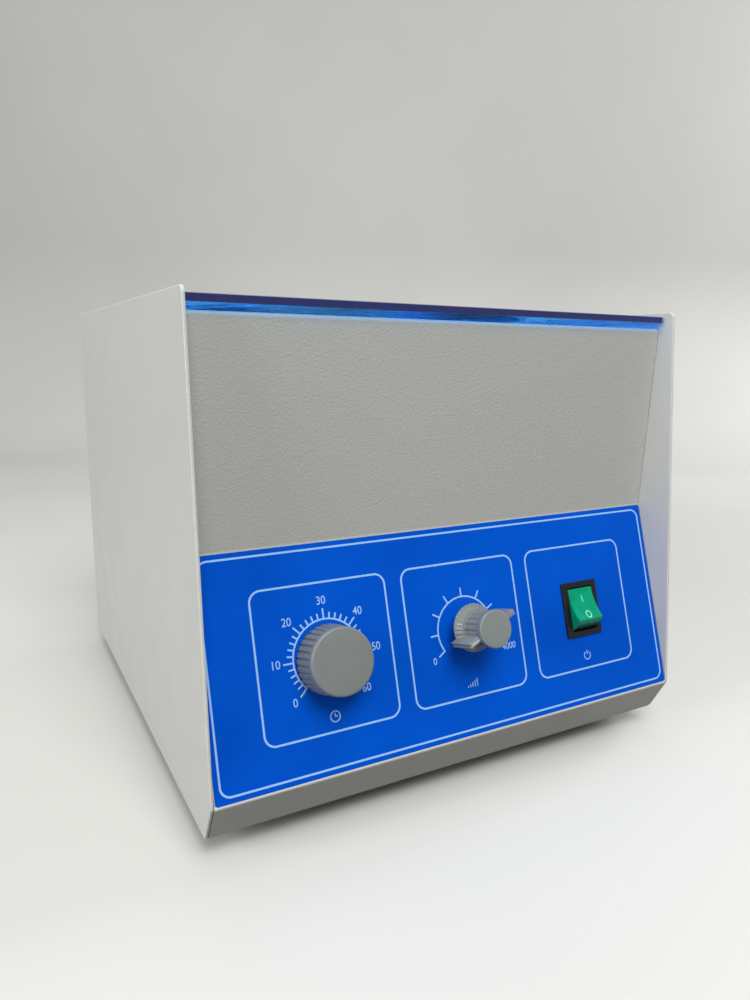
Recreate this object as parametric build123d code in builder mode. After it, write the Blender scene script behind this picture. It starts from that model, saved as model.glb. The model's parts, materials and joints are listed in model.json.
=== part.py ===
from build123d import *
from math import atan2, cos, degrees, pi, radians, sin, sqrt, tan
import os

os.makedirs("parts", exist_ok=True)

# Benchtop centrifuge with a hinged transparent lid, an angle rotor and a sloping control panel.
# Frame: +Z up, the control panel faces -Y, origin on the bench under the middle of the machine.
# Heights in this list are above the cabinet's lower edge, depths are behind the front fold.

# Cabinet shell
body_width = 285.0
body_depth = 311.5
side_thickness = 1.5
sheet_thickness = 1.2
base_thickness = 1.5
toe_setback = 11.3
fold_height = 21.0
control_run = 32.2
control_rise = 105.7
side_top_setback = 18.2
side_corner_radius = 3.5
side_edge_radius = 0.5
bend_radius = 1.8
deck_height = 231.0
deck_setback = 27.5
deck_edge_inset = 3.0
front_flange = 8.5
toe_flange = 14.0
toe_screw_spacing = 90.0
deck_side_flange = 12.0
sheet_gap = 0.25

# Corner angles inside the cabinet
angle_leg = 13.0
angle_thickness = 1.5
angle_end_gap = 18.0
angle_screw_inset = 8.0
rear_angle_bottom = 20.0
rear_angle_top = 205.0

# Feet
foot_height = 12.0
foot_radius = 12.0
foot_base_radius = 10.0
foot_side_inset = 26.0
front_foot_depth = 48.0
rear_foot_depth = 272.0
foot_recess_radius = 5.5
foot_recess_depth = 6.0
foot_edge_radius = 1.0

# Screws: shank radius, head radius and head height by thread size
m3_shank = 1.5
m3_head = 2.8
m3_head_height = 1.8
m3_nut = 3.1
m3_nut_height = 2.0
m4_shank = 2.0
m4_head = 3.7
m4_head_height = 2.4
m4_nut = 4.0
m4_nut_height = 3.0
m5_shank = 2.5
m5_head = 4.6
m5_head_height = 3.2
screw_hole_gap = 0.2
sheet_screw_length = 7.0
screw_tail = 1.0
screw_cylinder_share = 0.6
screw_dome_taper = 35.0
cross_length_share = 0.9
cross_width_share = 0.22
cross_depth_share = 0.5
cross_middle_share = 0.16

# Chamber
bowl_front_gap = 3.0
bowl_radius = 118.0
bowl_wall = 1.0
bowl_flange = 8.0
bowl_floor_height = 105.0
bowl_corner = 18.0
deck_hole_radius = 116.0
seal_web = 1.3
seal_lip = 3.4
seal_lip_height = 1.5
seal_lip_chamfer = 0.7
seal_foot = 1.0
seal_clearance = 0.1
neck_hole_radius = 24.0
neck_seal_lip = 3.0
neck_seal_bottom = 95.0
neck_seal_top = 107.0
neck_seal_mouth = 6.5
neck_seal_web = 2.0
neck_seal_shoulder = 5.0

# Lid
lid_thickness = 3.6
lid_gap = 3.1
side_rise = 2.5
lid_setback = 24.0
lid_side_gap = 0.6
lid_corner_radius = 2.0
lid_edge_chamfer = 0.3
bumper_radius = 4.0
bumper_edge_radius = 0.8
bumper_gap = 0.3
bumper_inset = 8.0
bumper_spread = 120.0

# Lid hinges
hinge_spacing = 170.0
hinge_width = 42.0
hinge_middle = 15.0
hinge_leaf = 1.0
hinge_knuckle_radius = 3.0
hinge_pin_radius = 1.4
hinge_running_gap = 0.05
hinge_end_gap = 0.35
lid_leaf_length = 20.0
body_leaf_length = 30.0
hinge_lid_gap = 0.6
hinge_screw_spacing = 26.0
hinge_pin_head = 2.0
hinge_pin_head_height = 1.0
hinge_screw_share = 0.62

# Angle rotor
tube_places = 12
rotor_rest_turn = 10.0
tube_tilt = 32.0
mouth_circle_radius = 60.0
mouth_height = 196.0
dish_thickness = 6.0
dish_inner_reach = 22.0
dish_outer_reach = 16.0
skirt_thickness = 3.0
skirt_length = 60.0
hub_radius = 16.0
hub_length = 46.0
hub_web = 7.0
sleeve_bore_radius = 8.8
sleeve_wall = 1.0
sleeve_rim_radius = 12.0
sleeve_rim_height = 2.0
sleeve_rim_edge = 0.6
sleeve_length = 78.0
sleeve_floor = 2.0
sleeve_hole_gap = 0.15
cushion_thickness = 3.0
cushion_gap = 0.1
cushion_ledge = 0.8
rotor_nut_radius = 11.0
rotor_nut_height = 12.0
rotor_nut_shoulder_share = 0.72
rotor_nut_top_share = 0.5
rotor_flange_radius = 13.0
rotor_flange_height = 1.5

# Drive shaft and motor
shaft_radius = 5.0
shaft_gap = 0.02
shaft_bottom = 9.0
shaft_chamfer = 0.6
shaft_above_nut = 2.5
motor_radius = 42.0
motor_wall = 2.0
can_bottom = 16.0
can_top = 88.0
cap_thickness = 6.0
cap_boss_radius = 17.0
upper_boss_top = 100.0
lower_boss_bottom = 6.0
bearing_outer_radius = 13.0
bearing_height = 8.0
bearing_ring = 2.0
bearing_ball_radius = 1.67
bearing_balls = 8
bearing_shelf = 2.0
ball_offset = 0.25
bearing_lip_radius = 9.0
core_bottom = 34.0
core_length = 32.0
armature_radius = 24.0
armature_slots = 12
slot_depth = 10.0
slot_width = 3.2
air_gap = 0.6
core_ring_inner = 33.0
pole_half_angle = 52.0
pole_neck = 14.0
shoe_thickness = 2.4
winding_radius = 21.0
winding_height = 6.0
winding_bore = 8.0
winding_bar = 8.0
winding_gap = 0.2
winding_edge_radius = 1.5
coil_width = 4.0
coil_overhang = 5.0
coil_thickness = 3.2
commutator_radius = 11.0
commutator_bottom = 73.0
commutator_height = 10.0
commutator_bars = 24
commutator_slot = 1.0
brush_gap = 0.3
brush_width = 8.0
brush_height = 6.0
brush_length = 14.0
brush_holder_wall = 1.5
brush_stand_out = 1.8
brush_cap_radius = 5.0
brush_cap_height = 4.0
brush_cap_chamfer = 0.6
fan_radius = 32.0
fan_bottom = 18.5
fan_height = 8.0
fan_blades = 9
fan_disc = 1.5
fan_hub_radius = 9.0
fan_blade_angle = 18.0
can_flange_radius = 51.0
can_flange_thickness = 3.0
can_bolt_circle = 46.5
vent_slot_count = 8
can_vent_height = 24.0
can_vent_length = 12.0
cap_vent_count = 6
cap_vent_radius = 5.0
can_bolt_length = 10.0

# Motor suspension
mount_plate_radius = 78.0
mount_plate_thickness = 3.0
mount_plate_height = 60.0
damper_circle = 66.0
damper_count = 3
damper_radius = 10.0
damper_height = 16.0
damper_waist = 5.0
damper_groove = 1.5
post_radius = 7.0
mount_bolt_length = 26.0

# Control label and its print
label_thickness = 0.3
label_margin = 0.9
label_side_margin = 0.4
label_corner = 1.5
print_thickness = 0.1
print_line = 0.95
border_inset = 2.8
border_corner = 5.5
frame_size = 70.6
frame_corner = 6.0
frame_spacing = 80.4
frame_middle_x = 0.7
frame_height = 55.3
dial_height = 55.3
timer_dial_radius = 17.8
timer_minutes = 60
timer_minutes_per_mark = 2
timer_scale_angle = 270.0
timer_mark_length = 3.1
timer_long_mark_length = 5.0
timer_marks_per_number = 5
speed_dial_radius = 17.1
speed_scale_angle = 245.0
speed_scale_steps = 8
speed_mark_length = 4.6
dial_line = 0.8

# Timer
timer_x = -79.4
timer_face_height = 54.0
timer_knob_radius = 16.8
timer_knob_face_radius = 15.9
timer_knob_gap = 1.0
timer_knob_length = 16.3
timer_flutes = 32
timer_flute_depth = 0.6
timer_flute_margin = 2.6
timer_flute_radius = 0.6
knob_face_wall = 3.0
timer_body_corner = 2.0
shaft_in_body = 8.0
timer_knob_hollow = 5.0
timer_knob_wall = 2.6
knob_edge_radius = 1.2
timer_shaft_radius = 3.0
timer_bush_radius = 4.0
timer_bush_length = 5.0
timer_body_size = 50.0
timer_body_depth = 36.0
timer_screw_spacing = 19.0

# Speed control
speed_x = 0.3
speed_face_height = 56.2
speed_knob_gap = 7.6
speed_skirt_radius = 12.5
speed_skirt_rim = 1.2
speed_skirt_height = 4.4
speed_skirt_top_radius = 9.9
speed_barrel_radius = 8.7
speed_barrel_flutes = 18
speed_flute_radius = 0.75
speed_cap_radius = 9.5
speed_cap_height = 3.4
speed_knob_length = 19.6
speed_bar_half_length = 16.0
speed_bar_thickness = 2.9
speed_bar_setback = 3.0
speed_bar_lift = 0.4
speed_bar_rotation = 24.0
speed_edge = 0.5
pointer_groove = 0.9
speed_shaft_radius = 3.0
speed_bush_radius = 4.8
speed_bush_length = 6.0
speed_body_radius = 12.0
speed_body_depth = 11.0
lug_length = 5.0
lug_width = 2.0
lug_spacing = 5.0
lug_rooting = 1.0
speed_nut_radius = 7.0
speed_nut_height = 2.4
shaft_in_knob = 12.0
bush_running_gap = 0.05
bush_hole_gap = 0.3

# Rocker switch
switch_x = 81.4
switch_face_height = 54.0
bezel_width = 25.7
bezel_length = 31.0
bezel_thickness = 1.6
bezel_corner = 0.8
switch_body_width = 21.6
switch_body_length = 27.6
switch_body_depth = 22.0
rocker_width = 17.7
rocker_radius = 12.2
rocker_gap = 0.3
rocker_pivot_depth = 3.0
rocker_middle_height = 3.8
rocker_tip_angle = 48.4
rocker_rest_angle = 20.0
rocker_bottom = 6.0
rocker_edge_radius = 0.6
rocker_swing_depth = 9.6
trunnion_gap = 0.08
bezel_chamfer = 0.5
trunnion_radius = 1.2
trunnion_length = 1.6
terminal_width = 6.3
terminal_thickness = 0.8
terminal_length = 9.0
terminal_spacing = 12.0

# Mains inlet and fuse on the rear panel
inlet_side_inset = 49.0
inlet_height = 44.0
inlet_flange_width = 50.0
inlet_flange_height = 24.0
inlet_flange_thickness = 3.0
inlet_body_width = 28.0
inlet_body_height = 20.0
inlet_body_depth = 22.0
inlet_cavity_width = 24.4
inlet_cavity_height = 16.4
inlet_cavity_depth = 18.0
inlet_corner_cut = 4.5
inlet_pin_spacing = 14.0
inlet_pin_rise = 4.0
inlet_pin_width = 2.0
inlet_pin_height = 4.0
inlet_pin_recess = 5.5
inlet_tab_length = 8.0
inlet_screw_spacing = 40.0
fuse_spacing = 47.0
fuse_flange_radius = 9.0
fuse_flange_thickness = 2.0
fuse_body_radius = 6.3
fuse_body_depth = 34.0
fuse_bore_radius = 4.4
fuse_cap_radius = 7.6
fuse_cap_length = 10.0
fuse_cap_grips = 12
fuse_grip_radius = 0.8
fuse_slot_width = 1.6
fuse_stem_length = 6.0
fuse_nut_radius = 9.0
fuse_nut_height = 3.0

# Rear panel and base vents
vent_width = 3.0
vent_length = 34.0
vent_pitch = 9.0
rear_vent_count = 12
rear_vent_height = 128.0
base_vent_count = 9
base_vent_length = 60.0

# Speed control board
board_side_inset = 38.0
board_depth = 150.0
board_width = 46.0
board_length = 88.0
board_thickness = 1.6
board_standoff = 8.0
board_spacer_radius = 3.0
board_hole_inset = 4.0
sink_height = 26.0
sink_width = 12.0
sink_length = 40.0
sink_fins = 5
sink_offset = 18.0
capacitor_radius = 6.0
capacitor_height = 20.0
capacitor_spacing = 18.0
capacitor_offset = 16.0
terminal_block_offset = 34.0
terminal_block_length = 30.0
terminal_block_width = 8.0

# Wiring
wire_radius = 1.6
wire_bend = 6.0
wire_front_depth = 70.0

# Derived levels and places
inner_half = body_width / 2 - side_thickness
foot_spread = 2 * (inner_half - foot_side_inset)
inlet_x = inner_half - inlet_side_inset
fuse_x = inlet_x - fuse_spacing
board_x = board_side_inset - inner_half
panel_top_height = deck_height + sheet_thickness
lid_top_height = panel_top_height + lid_gap + lid_thickness
body_height = lid_top_height + side_rise
rotor_depth = deck_setback + front_flange + bowl_front_gap + bowl_flange + bowl_radius
base_level = foot_height
deck_top = base_level + deck_height
deck_under = deck_top - sheet_thickness
lid_top = base_level + lid_top_height
lid_under = lid_top - lid_thickness
control_tilt = degrees(atan2(control_run, control_rise))
control_length = sqrt(control_run ** 2 + control_rise ** 2)
tilt_cos = cos(radians(control_tilt))
tilt_sin = sin(radians(control_tilt))
speed_cap_level = label_thickness + speed_knob_gap + speed_knob_length
front_reach = (speed_cap_level * tilt_cos
               - (speed_face_height - speed_cap_radius) * tilt_sin)
rear_face_inset = side_thickness
rear_reach = fuse_flange_thickness + fuse_cap_length - rear_face_inset
fold_y = front_reach - (front_reach + body_depth + rear_reach) / 2
rear_y = fold_y + body_depth
rear_outer = rear_y - rear_face_inset
rear_inner = rear_outer - sheet_thickness
rotor_y = fold_y + rotor_depth
base_bottom = base_level + sheet_thickness
base_top = base_bottom + base_thickness

control_plane = Plane(origin=(0, fold_y, base_level + fold_height), x_dir=(1, 0, 0),
                      z_dir=(0, -tilt_cos, tilt_sin))
label_plane = control_plane.offset(label_thickness)
rear_plane = Plane(origin=(0, rear_outer, base_level), x_dir=(-1, 0, 0), z_dir=(0, 1, 0))


def level(height):
    """A height above the cabinet's lower edge, as a Z of the model."""
    return base_level + height


def rotor_plane(height):
    """A horizontal plane centred on the rotor's axis."""
    return Plane(origin=(0, rotor_y, level(height)), x_dir=(1, 0, 0), z_dir=(0, 0, 1))


def rotor_section():
    """The plane of revolved profiles: local x is the radius, local y the height over the lower edge."""
    return Plane(origin=(0, rotor_y, base_level), x_dir=(1, 0, 0), z_dir=(0, -1, 0))


rotor_axis = Axis((0, rotor_y, 0), (0, 0, 1))


def ring(plane, outer, inner, height):
    """A plain ring standing on a plane."""
    with BuildPart() as tube:
        with BuildSketch(plane):
            Circle(outer)
            Circle(inner, mode=Mode.SUBTRACT)
        extrude(amount=height)
    return tube


def screws(seats, shank, head, head_height, length):
    """Pan head screws: each seat plane points out of the head."""
    with BuildPart() as group:
        with BuildSketch(*seats):
            Circle(head)
        extrude(amount=head_height * screw_cylinder_share)
        with BuildSketch(*[seat.offset(head_height * screw_cylinder_share) for seat in seats]):
            Circle(head)
        extrude(amount=head_height * (1 - screw_cylinder_share), taper=screw_dome_taper)
        with BuildSketch(*[seat.offset(head_height) for seat in seats]):
            Circle(head * cross_middle_share)
            Rectangle(head * cross_length_share, head * cross_width_share)
            Rectangle(head * cross_width_share, head * cross_length_share)
        extrude(amount=-head_height * cross_depth_share, mode=Mode.SUBTRACT)
        with BuildSketch(*seats):
            Circle(shank)
        extrude(amount=-length)
    return group


def nuts(seats, shank, nut, nut_height):
    """Hexagon nuts standing on their seat planes."""
    with BuildPart() as group:
        with BuildSketch(*seats):
            RegularPolygon(nut, 6)
            Circle(shank, mode=Mode.SUBTRACT)
        extrude(amount=nut_height)
    return group


# Side plates

def side_plate(outer_x, inward):
    """A flat five sided sheet with softened edges."""
    with BuildPart() as plate:
        with BuildSketch(Plane.YZ.offset(outer_x)) as outline:
            with BuildLine():
                Polyline((fold_y + toe_setback, base_level), (fold_y, level(fold_height)),
                         (fold_y + side_top_setback, level(body_height)), (rear_y, level(body_height)),
                         (rear_y, base_level), close=True)
            make_face()
            fillet(outline.vertices().group_by(Axis.Y)[-1] + outline.vertices().group_by(Axis.Z)[-1],
                   side_corner_radius)
        extrude(amount=inward * side_thickness)
        fillet(plate.edges().filter_by(Axis.X, reverse=True), side_edge_radius)
    return plate


left_side_plate = side_plate(-body_width / 2, 1)
left_side_plate.part.label = "left_side_plate"
export_step(left_side_plate.part, "parts/left_side_plate.step")
right_side_plate = side_plate(body_width / 2, -1)
right_side_plate.part.label = "right_side_plate"
export_step(right_side_plate.part, "parts/right_side_plate.step")


# Front panel: toe flange, return strip, control face, upper face and a flange lapped over the deck

panel_half = inner_half - sheet_gap
toe_screw_y = fold_y + toe_setback + toe_flange / 2 + bend_radius

with BuildPart() as front_panel:
    with BuildSketch(Plane.YZ.offset(-panel_half)):
        with BuildLine():
            FilletPolyline((fold_y + toe_setback + toe_flange, base_level),
                           (fold_y + toe_setback, base_level),
                           (fold_y, level(fold_height)),
                           (fold_y + control_run, level(fold_height + control_rise)),
                           (fold_y + deck_setback, level(panel_top_height)),
                           (fold_y + deck_setback + front_flange, level(panel_top_height)),
                           radius=bend_radius)
            offset(amount=sheet_thickness, side=Side.RIGHT, closed=True)
        make_face()
    extrude(amount=2 * panel_half)
    with BuildSketch(control_plane):
        with Locations((timer_x, timer_face_height)):
            Circle(timer_bush_radius + bush_hole_gap)
            with GridLocations(timer_screw_spacing, 0, 2, 1):
                Circle(m3_shank + screw_hole_gap)
        with Locations((speed_x, speed_face_height)):
            Circle(speed_bush_radius + bush_hole_gap)
        with Locations((switch_x, switch_face_height)):
            Rectangle(switch_body_width + 2 * bush_hole_gap, switch_body_length + 2 * bush_hole_gap)
    extrude(amount=-2 * sheet_thickness, mode=Mode.SUBTRACT)
    with BuildSketch(Plane.XY.offset(base_level - sheet_thickness)):
        with Locations((0, toe_screw_y)):
            with GridLocations(toe_screw_spacing, 0, 3, 1):
                Circle(m3_shank + screw_hole_gap)
    extrude(amount=3 * sheet_thickness, mode=Mode.SUBTRACT)
front_panel.part.label = "front_panel"
export_step(front_panel.part, "parts/front_panel.step")


# Top deck: a plate under the front panel's flange, with a round mouth and side flanges turned down

with BuildPart() as top_deck:
    deck_front = fold_y + deck_setback + deck_edge_inset
    deck_length = rear_inner - deck_front
    with BuildSketch(Plane.XY.offset(deck_under)):
        with Locations((0, deck_front + deck_length / 2)):
            Rectangle(2 * panel_half, deck_length)
        with Locations((0, rotor_y)):
            Circle(deck_hole_radius, mode=Mode.SUBTRACT)
    extrude(amount=sheet_thickness)
    flange_start = fold_y + deck_setback + front_flange + sheet_gap
    flange_run = rear_inner - angle_leg - sheet_gap - flange_start
    with BuildSketch(Plane.XY.offset(deck_under)):
        with Locations((0, flange_start + flange_run / 2)):
            with GridLocations(2 * panel_half - sheet_thickness, 0, 2, 1):
                Rectangle(sheet_thickness, flange_run)
    extrude(amount=-deck_side_flange)
top_deck.part.label = "top_deck"
export_step(top_deck.part, "parts/top_deck.step")


# Base plate: sits on the toe flange, with vents, foot holes and screw holes

foot_middle_y = fold_y + (front_foot_depth + rear_foot_depth) / 2
foot_run = rear_foot_depth - front_foot_depth
angle_x = inner_half - angle_leg / 2 - angle_thickness / 2
angle_start = fold_y + toe_setback + toe_flange + angle_end_gap
angle_end = rear_inner - angle_leg - angle_end_gap
angle_middle = (angle_start + angle_end) / 2
angle_screw_run = (angle_end - angle_start) / 2 - angle_screw_inset
post_places = [(damper_circle * cos(radians(a)), rotor_y + damper_circle * sin(radians(a)))
               for a in (90, 210, 330)]

with BuildPart() as base_plate:
    base_front = fold_y + toe_setback + bend_radius + sheet_thickness
    base_length = rear_inner - base_front
    with BuildSketch(Plane.XY.offset(base_bottom)):
        with Locations((0, base_front + base_length / 2)):
            Rectangle(2 * panel_half, base_length)
        with Locations((0, foot_middle_y)):
            with GridLocations(foot_spread, foot_run, 2, 2):
                Circle(m4_shank + screw_hole_gap, mode=Mode.SUBTRACT)
        with Locations((0, angle_middle)):
            with GridLocations(2 * angle_x, angle_screw_run, 2, 3):
                Circle(m3_shank + screw_hole_gap, mode=Mode.SUBTRACT)
        with Locations((0, toe_screw_y)):
            with GridLocations(toe_screw_spacing, 0, 3, 1):
                Circle(m3_shank + screw_hole_gap, mode=Mode.SUBTRACT)
        with Locations(*post_places):
            Circle(m5_shank + screw_hole_gap, mode=Mode.SUBTRACT)
        with Locations((0, rotor_y)):
            with GridLocations(0, vent_pitch, 1, base_vent_count):
                SlotOverall(base_vent_length, vent_width, mode=Mode.SUBTRACT)
    extrude(amount=base_thickness)
base_plate.part.label = "base_plate"
export_step(base_plate.part, "parts/base_plate.step")


# Corner angles: two along the base, two up the rear panel

rear_angle_run = rear_angle_top - rear_angle_bottom
rear_screw_middle = (rear_angle_top + rear_angle_bottom) / 2
rear_screw_run = rear_angle_run / 2 - angle_screw_inset

with BuildPart() as corner_angles:
    with BuildSketch(Plane.XY.offset(base_top)):
        with Locations((0, angle_middle)):
            with GridLocations(2 * inner_half - angle_leg, 0, 2, 1):
                Rectangle(angle_leg, angle_end - angle_start)
            with GridLocations(2 * angle_x, angle_screw_run, 2, 3):
                Circle(m3_shank, mode=Mode.SUBTRACT)
    extrude(amount=angle_thickness)
    with BuildSketch(Plane.XY.offset(base_top)):
        with Locations((0, angle_middle)):
            with GridLocations(2 * inner_half - angle_thickness, 0, 2, 1):
                Rectangle(angle_thickness, angle_end - angle_start)
    extrude(amount=angle_leg)
    with BuildSketch(Plane.XY.offset(level(rear_angle_bottom))):
        with Locations((0, rear_inner - angle_leg / 2)):
            with GridLocations(2 * inner_half - angle_thickness, 0, 2, 1):
                Rectangle(angle_thickness, angle_leg)
        with Locations((0, rear_inner - angle_thickness / 2)):
            with GridLocations(2 * inner_half - angle_leg, 0, 2, 1):
                Rectangle(angle_leg, angle_thickness)
    extrude(amount=rear_angle_run)
    with BuildSketch(rear_plane):
        with Locations((0, rear_screw_middle)):
            with GridLocations(2 * angle_x, rear_screw_run, 2, 3):
                Circle(m3_shank)
    extrude(amount=-2 * angle_leg, mode=Mode.SUBTRACT)
corner_angles.part.label = "corner_angles"
export_step(corner_angles.part, "parts/corner_angles.step")


# Rear panel: vents, inlet and fuse cut-outs, hinge and cabinet screw holes

hinge_y = rear_outer + hinge_leaf - hinge_knuckle_radius
hinge_z = lid_top + hinge_leaf - hinge_knuckle_radius
hinge_screw_height = hinge_z - base_level - body_leaf_length * hinge_screw_share

with BuildPart() as rear_panel:
    with BuildSketch(rear_plane):
        Rectangle(2 * panel_half, deck_height, align=(Align.CENTER, Align.MIN))
        with Locations((0, rear_vent_height)):
            with GridLocations(vent_pitch, 0, rear_vent_count, 1):
                SlotOverall(vent_length, vent_width, rotation=90, mode=Mode.SUBTRACT)
        with Locations((-inlet_x, inlet_height)):
            Rectangle(inlet_body_width + 2 * bush_hole_gap, inlet_body_height + 2 * bush_hole_gap,
                      mode=Mode.SUBTRACT)
            with GridLocations(inlet_screw_spacing, 0, 2, 1):
                Circle(m3_shank + screw_hole_gap, mode=Mode.SUBTRACT)
        with Locations((-fuse_x, inlet_height)):
            Circle(fuse_body_radius + bush_hole_gap, mode=Mode.SUBTRACT)
        with Locations((0, rear_screw_middle)):
            with GridLocations(2 * angle_x, rear_screw_run, 2, 3):
                Circle(m3_shank + screw_hole_gap, mode=Mode.SUBTRACT)
        with Locations((-hinge_spacing / 2, hinge_screw_height), (hinge_spacing / 2, hinge_screw_height)):
            with GridLocations(hinge_screw_spacing, 0, 2, 1):
                Circle(m3_shank + screw_hole_gap, mode=Mode.SUBTRACT)
    extrude(amount=-sheet_thickness)
rear_panel.part.label = "rear_panel"
export_step(rear_panel.part, "parts/rear_panel.step")


# Feet with recessed screws and their nuts

foot_taper = degrees(atan2(foot_radius - foot_base_radius, base_bottom))
foot_places = [(x, y) for x in (-foot_spread / 2, foot_spread / 2)
               for y in (fold_y + front_foot_depth, fold_y + rear_foot_depth)]

with BuildPart() as feet:
    with BuildSketch(Plane.XY.offset(base_bottom)):
        with Locations(*foot_places):
            Circle(foot_radius)
    extrude(amount=-base_bottom, taper=foot_taper)
    fillet(feet.edges().group_by(Axis.Z)[0], foot_edge_radius)
    with BuildSketch(Plane.XY):
        with Locations(*foot_places):
            Circle(foot_recess_radius)
    extrude(amount=foot_recess_depth, mode=Mode.SUBTRACT)
    with BuildSketch(Plane.XY):
        with Locations(*foot_places):
            Circle(m4_shank)
    extrude(amount=base_bottom, mode=Mode.SUBTRACT)
feet.part.label = "feet"
export_step(feet.part, "parts/feet.step")

foot_screw_seats = [Plane(origin=(x, y, foot_recess_depth), x_dir=(1, 0, 0), z_dir=(0, 0, -1))
                    for x, y in foot_places]
foot_screw_length = base_top + m4_nut_height + screw_tail - foot_recess_depth
foot_screws = screws(foot_screw_seats, m4_shank, m4_head, m4_head_height, foot_screw_length)


# Chamber: spun bowl, rubber trim on the deck's edge, rubber seal round the motor's neck

with BuildPart() as chamber_bowl:
    with BuildSketch(rotor_section()):
        with BuildLine():
            FilletPolyline((neck_hole_radius, bowl_floor_height),
                           (bowl_radius, bowl_floor_height),
                           (bowl_radius, deck_height - sheet_thickness - bowl_wall / 2),
                           radius=bowl_corner)
            offset(amount=bowl_wall, side=Side.RIGHT, closed=True)
        make_face()
    revolve(axis=rotor_axis)
    with BuildSketch(rotor_plane(deck_height - sheet_thickness)):
        Circle(bowl_radius + bowl_flange)
        Circle(bowl_radius, mode=Mode.SUBTRACT)
    extrude(amount=-bowl_wall)
chamber_bowl.part.label = "chamber_bowl"
export_step(chamber_bowl.part, "parts/chamber_bowl.step")

with BuildPart() as rim_seal:
    seal_inner = deck_hole_radius - seal_web
    seal_outer = deck_hole_radius - seal_clearance
    seal_top = deck_height + seal_lip_height
    seal_slot_bottom = deck_height - sheet_thickness
    with BuildSketch(rotor_section()):
        with BuildLine():
            Polyline((seal_inner, seal_slot_bottom - seal_lip_height),
                     (seal_outer + seal_foot, seal_slot_bottom - seal_lip_height),
                     (seal_outer + seal_foot, seal_slot_bottom - seal_clearance),
                     (seal_outer, seal_slot_bottom - seal_clearance),
                     (seal_outer, deck_height),
                     (deck_hole_radius + seal_lip, deck_height),
                     (deck_hole_radius + seal_lip, seal_top - seal_lip_chamfer),
                     (deck_hole_radius + seal_lip - seal_lip_chamfer, seal_top),
                     (seal_inner + seal_lip_chamfer, seal_top),
                     (seal_inner, seal_top - seal_lip_chamfer), close=True)
        make_face()
    revolve(axis=rotor_axis)
rim_seal.part.label = "rim_seal"
export_step(rim_seal.part, "parts/rim_seal.step")

with BuildPart() as neck_seal:
    seal_bore = cap_boss_radius + seal_clearance
    floor_under = bowl_floor_height - bowl_wall
    with BuildSketch(rotor_section()):
        with BuildLine():
            Polyline((seal_bore, neck_seal_bottom),
                     (neck_hole_radius - seal_clearance, neck_seal_bottom),
                     (neck_hole_radius + neck_seal_lip, floor_under - neck_seal_lip),
                     (neck_hole_radius + neck_seal_lip, floor_under - seal_clearance),
                     (neck_hole_radius - seal_clearance, floor_under - seal_clearance),
                     (neck_hole_radius - seal_clearance, bowl_floor_height),
                     (neck_hole_radius + neck_seal_lip, bowl_floor_height),
                     (neck_hole_radius, neck_seal_top),
                     (neck_seal_mouth, neck_seal_top),
                     (neck_seal_mouth, neck_seal_top - neck_seal_web),
                     (seal_bore, neck_seal_top - neck_seal_shoulder), close=True)
        make_face()
    revolve(axis=rotor_axis)
neck_seal.part.label = "neck_seal"
export_step(neck_seal.part, "parts/neck_seal.step")


# Lid: one flat sheet between the side plates

lid_half = inner_half - lid_side_gap
lid_front = fold_y + lid_setback
lid_rear = hinge_y - hinge_knuckle_radius - hinge_lid_gap
lid_screw_y = hinge_y - lid_leaf_length * hinge_screw_share
hinge_middles = (-hinge_spacing / 2, hinge_spacing / 2)
lid_screw_places = [(middle + side * hinge_screw_spacing / 2, lid_screw_y)
                    for middle in hinge_middles for side in (-1, 1)]

with BuildPart() as lid_panel:
    with BuildSketch(Plane.XY.offset(lid_under)):
        with Locations((0, (lid_front + lid_rear) / 2)):
            RectangleRounded(2 * lid_half, lid_rear - lid_front, lid_corner_radius)
        with Locations(*lid_screw_places):
            Circle(m3_shank + screw_hole_gap, mode=Mode.SUBTRACT)
    extrude(amount=lid_thickness)
    chamfer(lid_panel.faces().sort_by(Axis.Z)[-1].outer_wire().edges(), lid_edge_chamfer)
    chamfer(lid_panel.faces().sort_by(Axis.Z)[0].outer_wire().edges(), lid_edge_chamfer)
lid_panel.part.label = "lid_panel"
export_step(lid_panel.part, "parts/lid_panel.step")

with BuildPart() as lid_bumpers:
    bumper_x = inner_half - bumper_inset - bumper_radius
    bumper_places = [(x, y) for x in (-bumper_x, bumper_x)
                     for y in (rotor_y - bumper_spread / 2, rotor_y + bumper_spread / 2)]
    with BuildSketch(Plane.XY.offset(deck_top)):
        with Locations(*bumper_places):
            Circle(bumper_radius)
    extrude(amount=lid_under - deck_top - bumper_gap)
    fillet(lid_bumpers.edges().group_by(Axis.Z)[-1], bumper_edge_radius)
lid_bumpers.part.label = "lid_bumpers"
export_step(lid_bumpers.part, "parts/lid_bumpers.step")


# Lid hinges: the cabinet's leaf stands on the rear panel, the lid's leaf lies on the lid

hinge_outer_width = (hinge_width - hinge_middle) / 2 - hinge_end_gap
hinge_relief = hinge_knuckle_radius + hinge_end_gap

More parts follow.
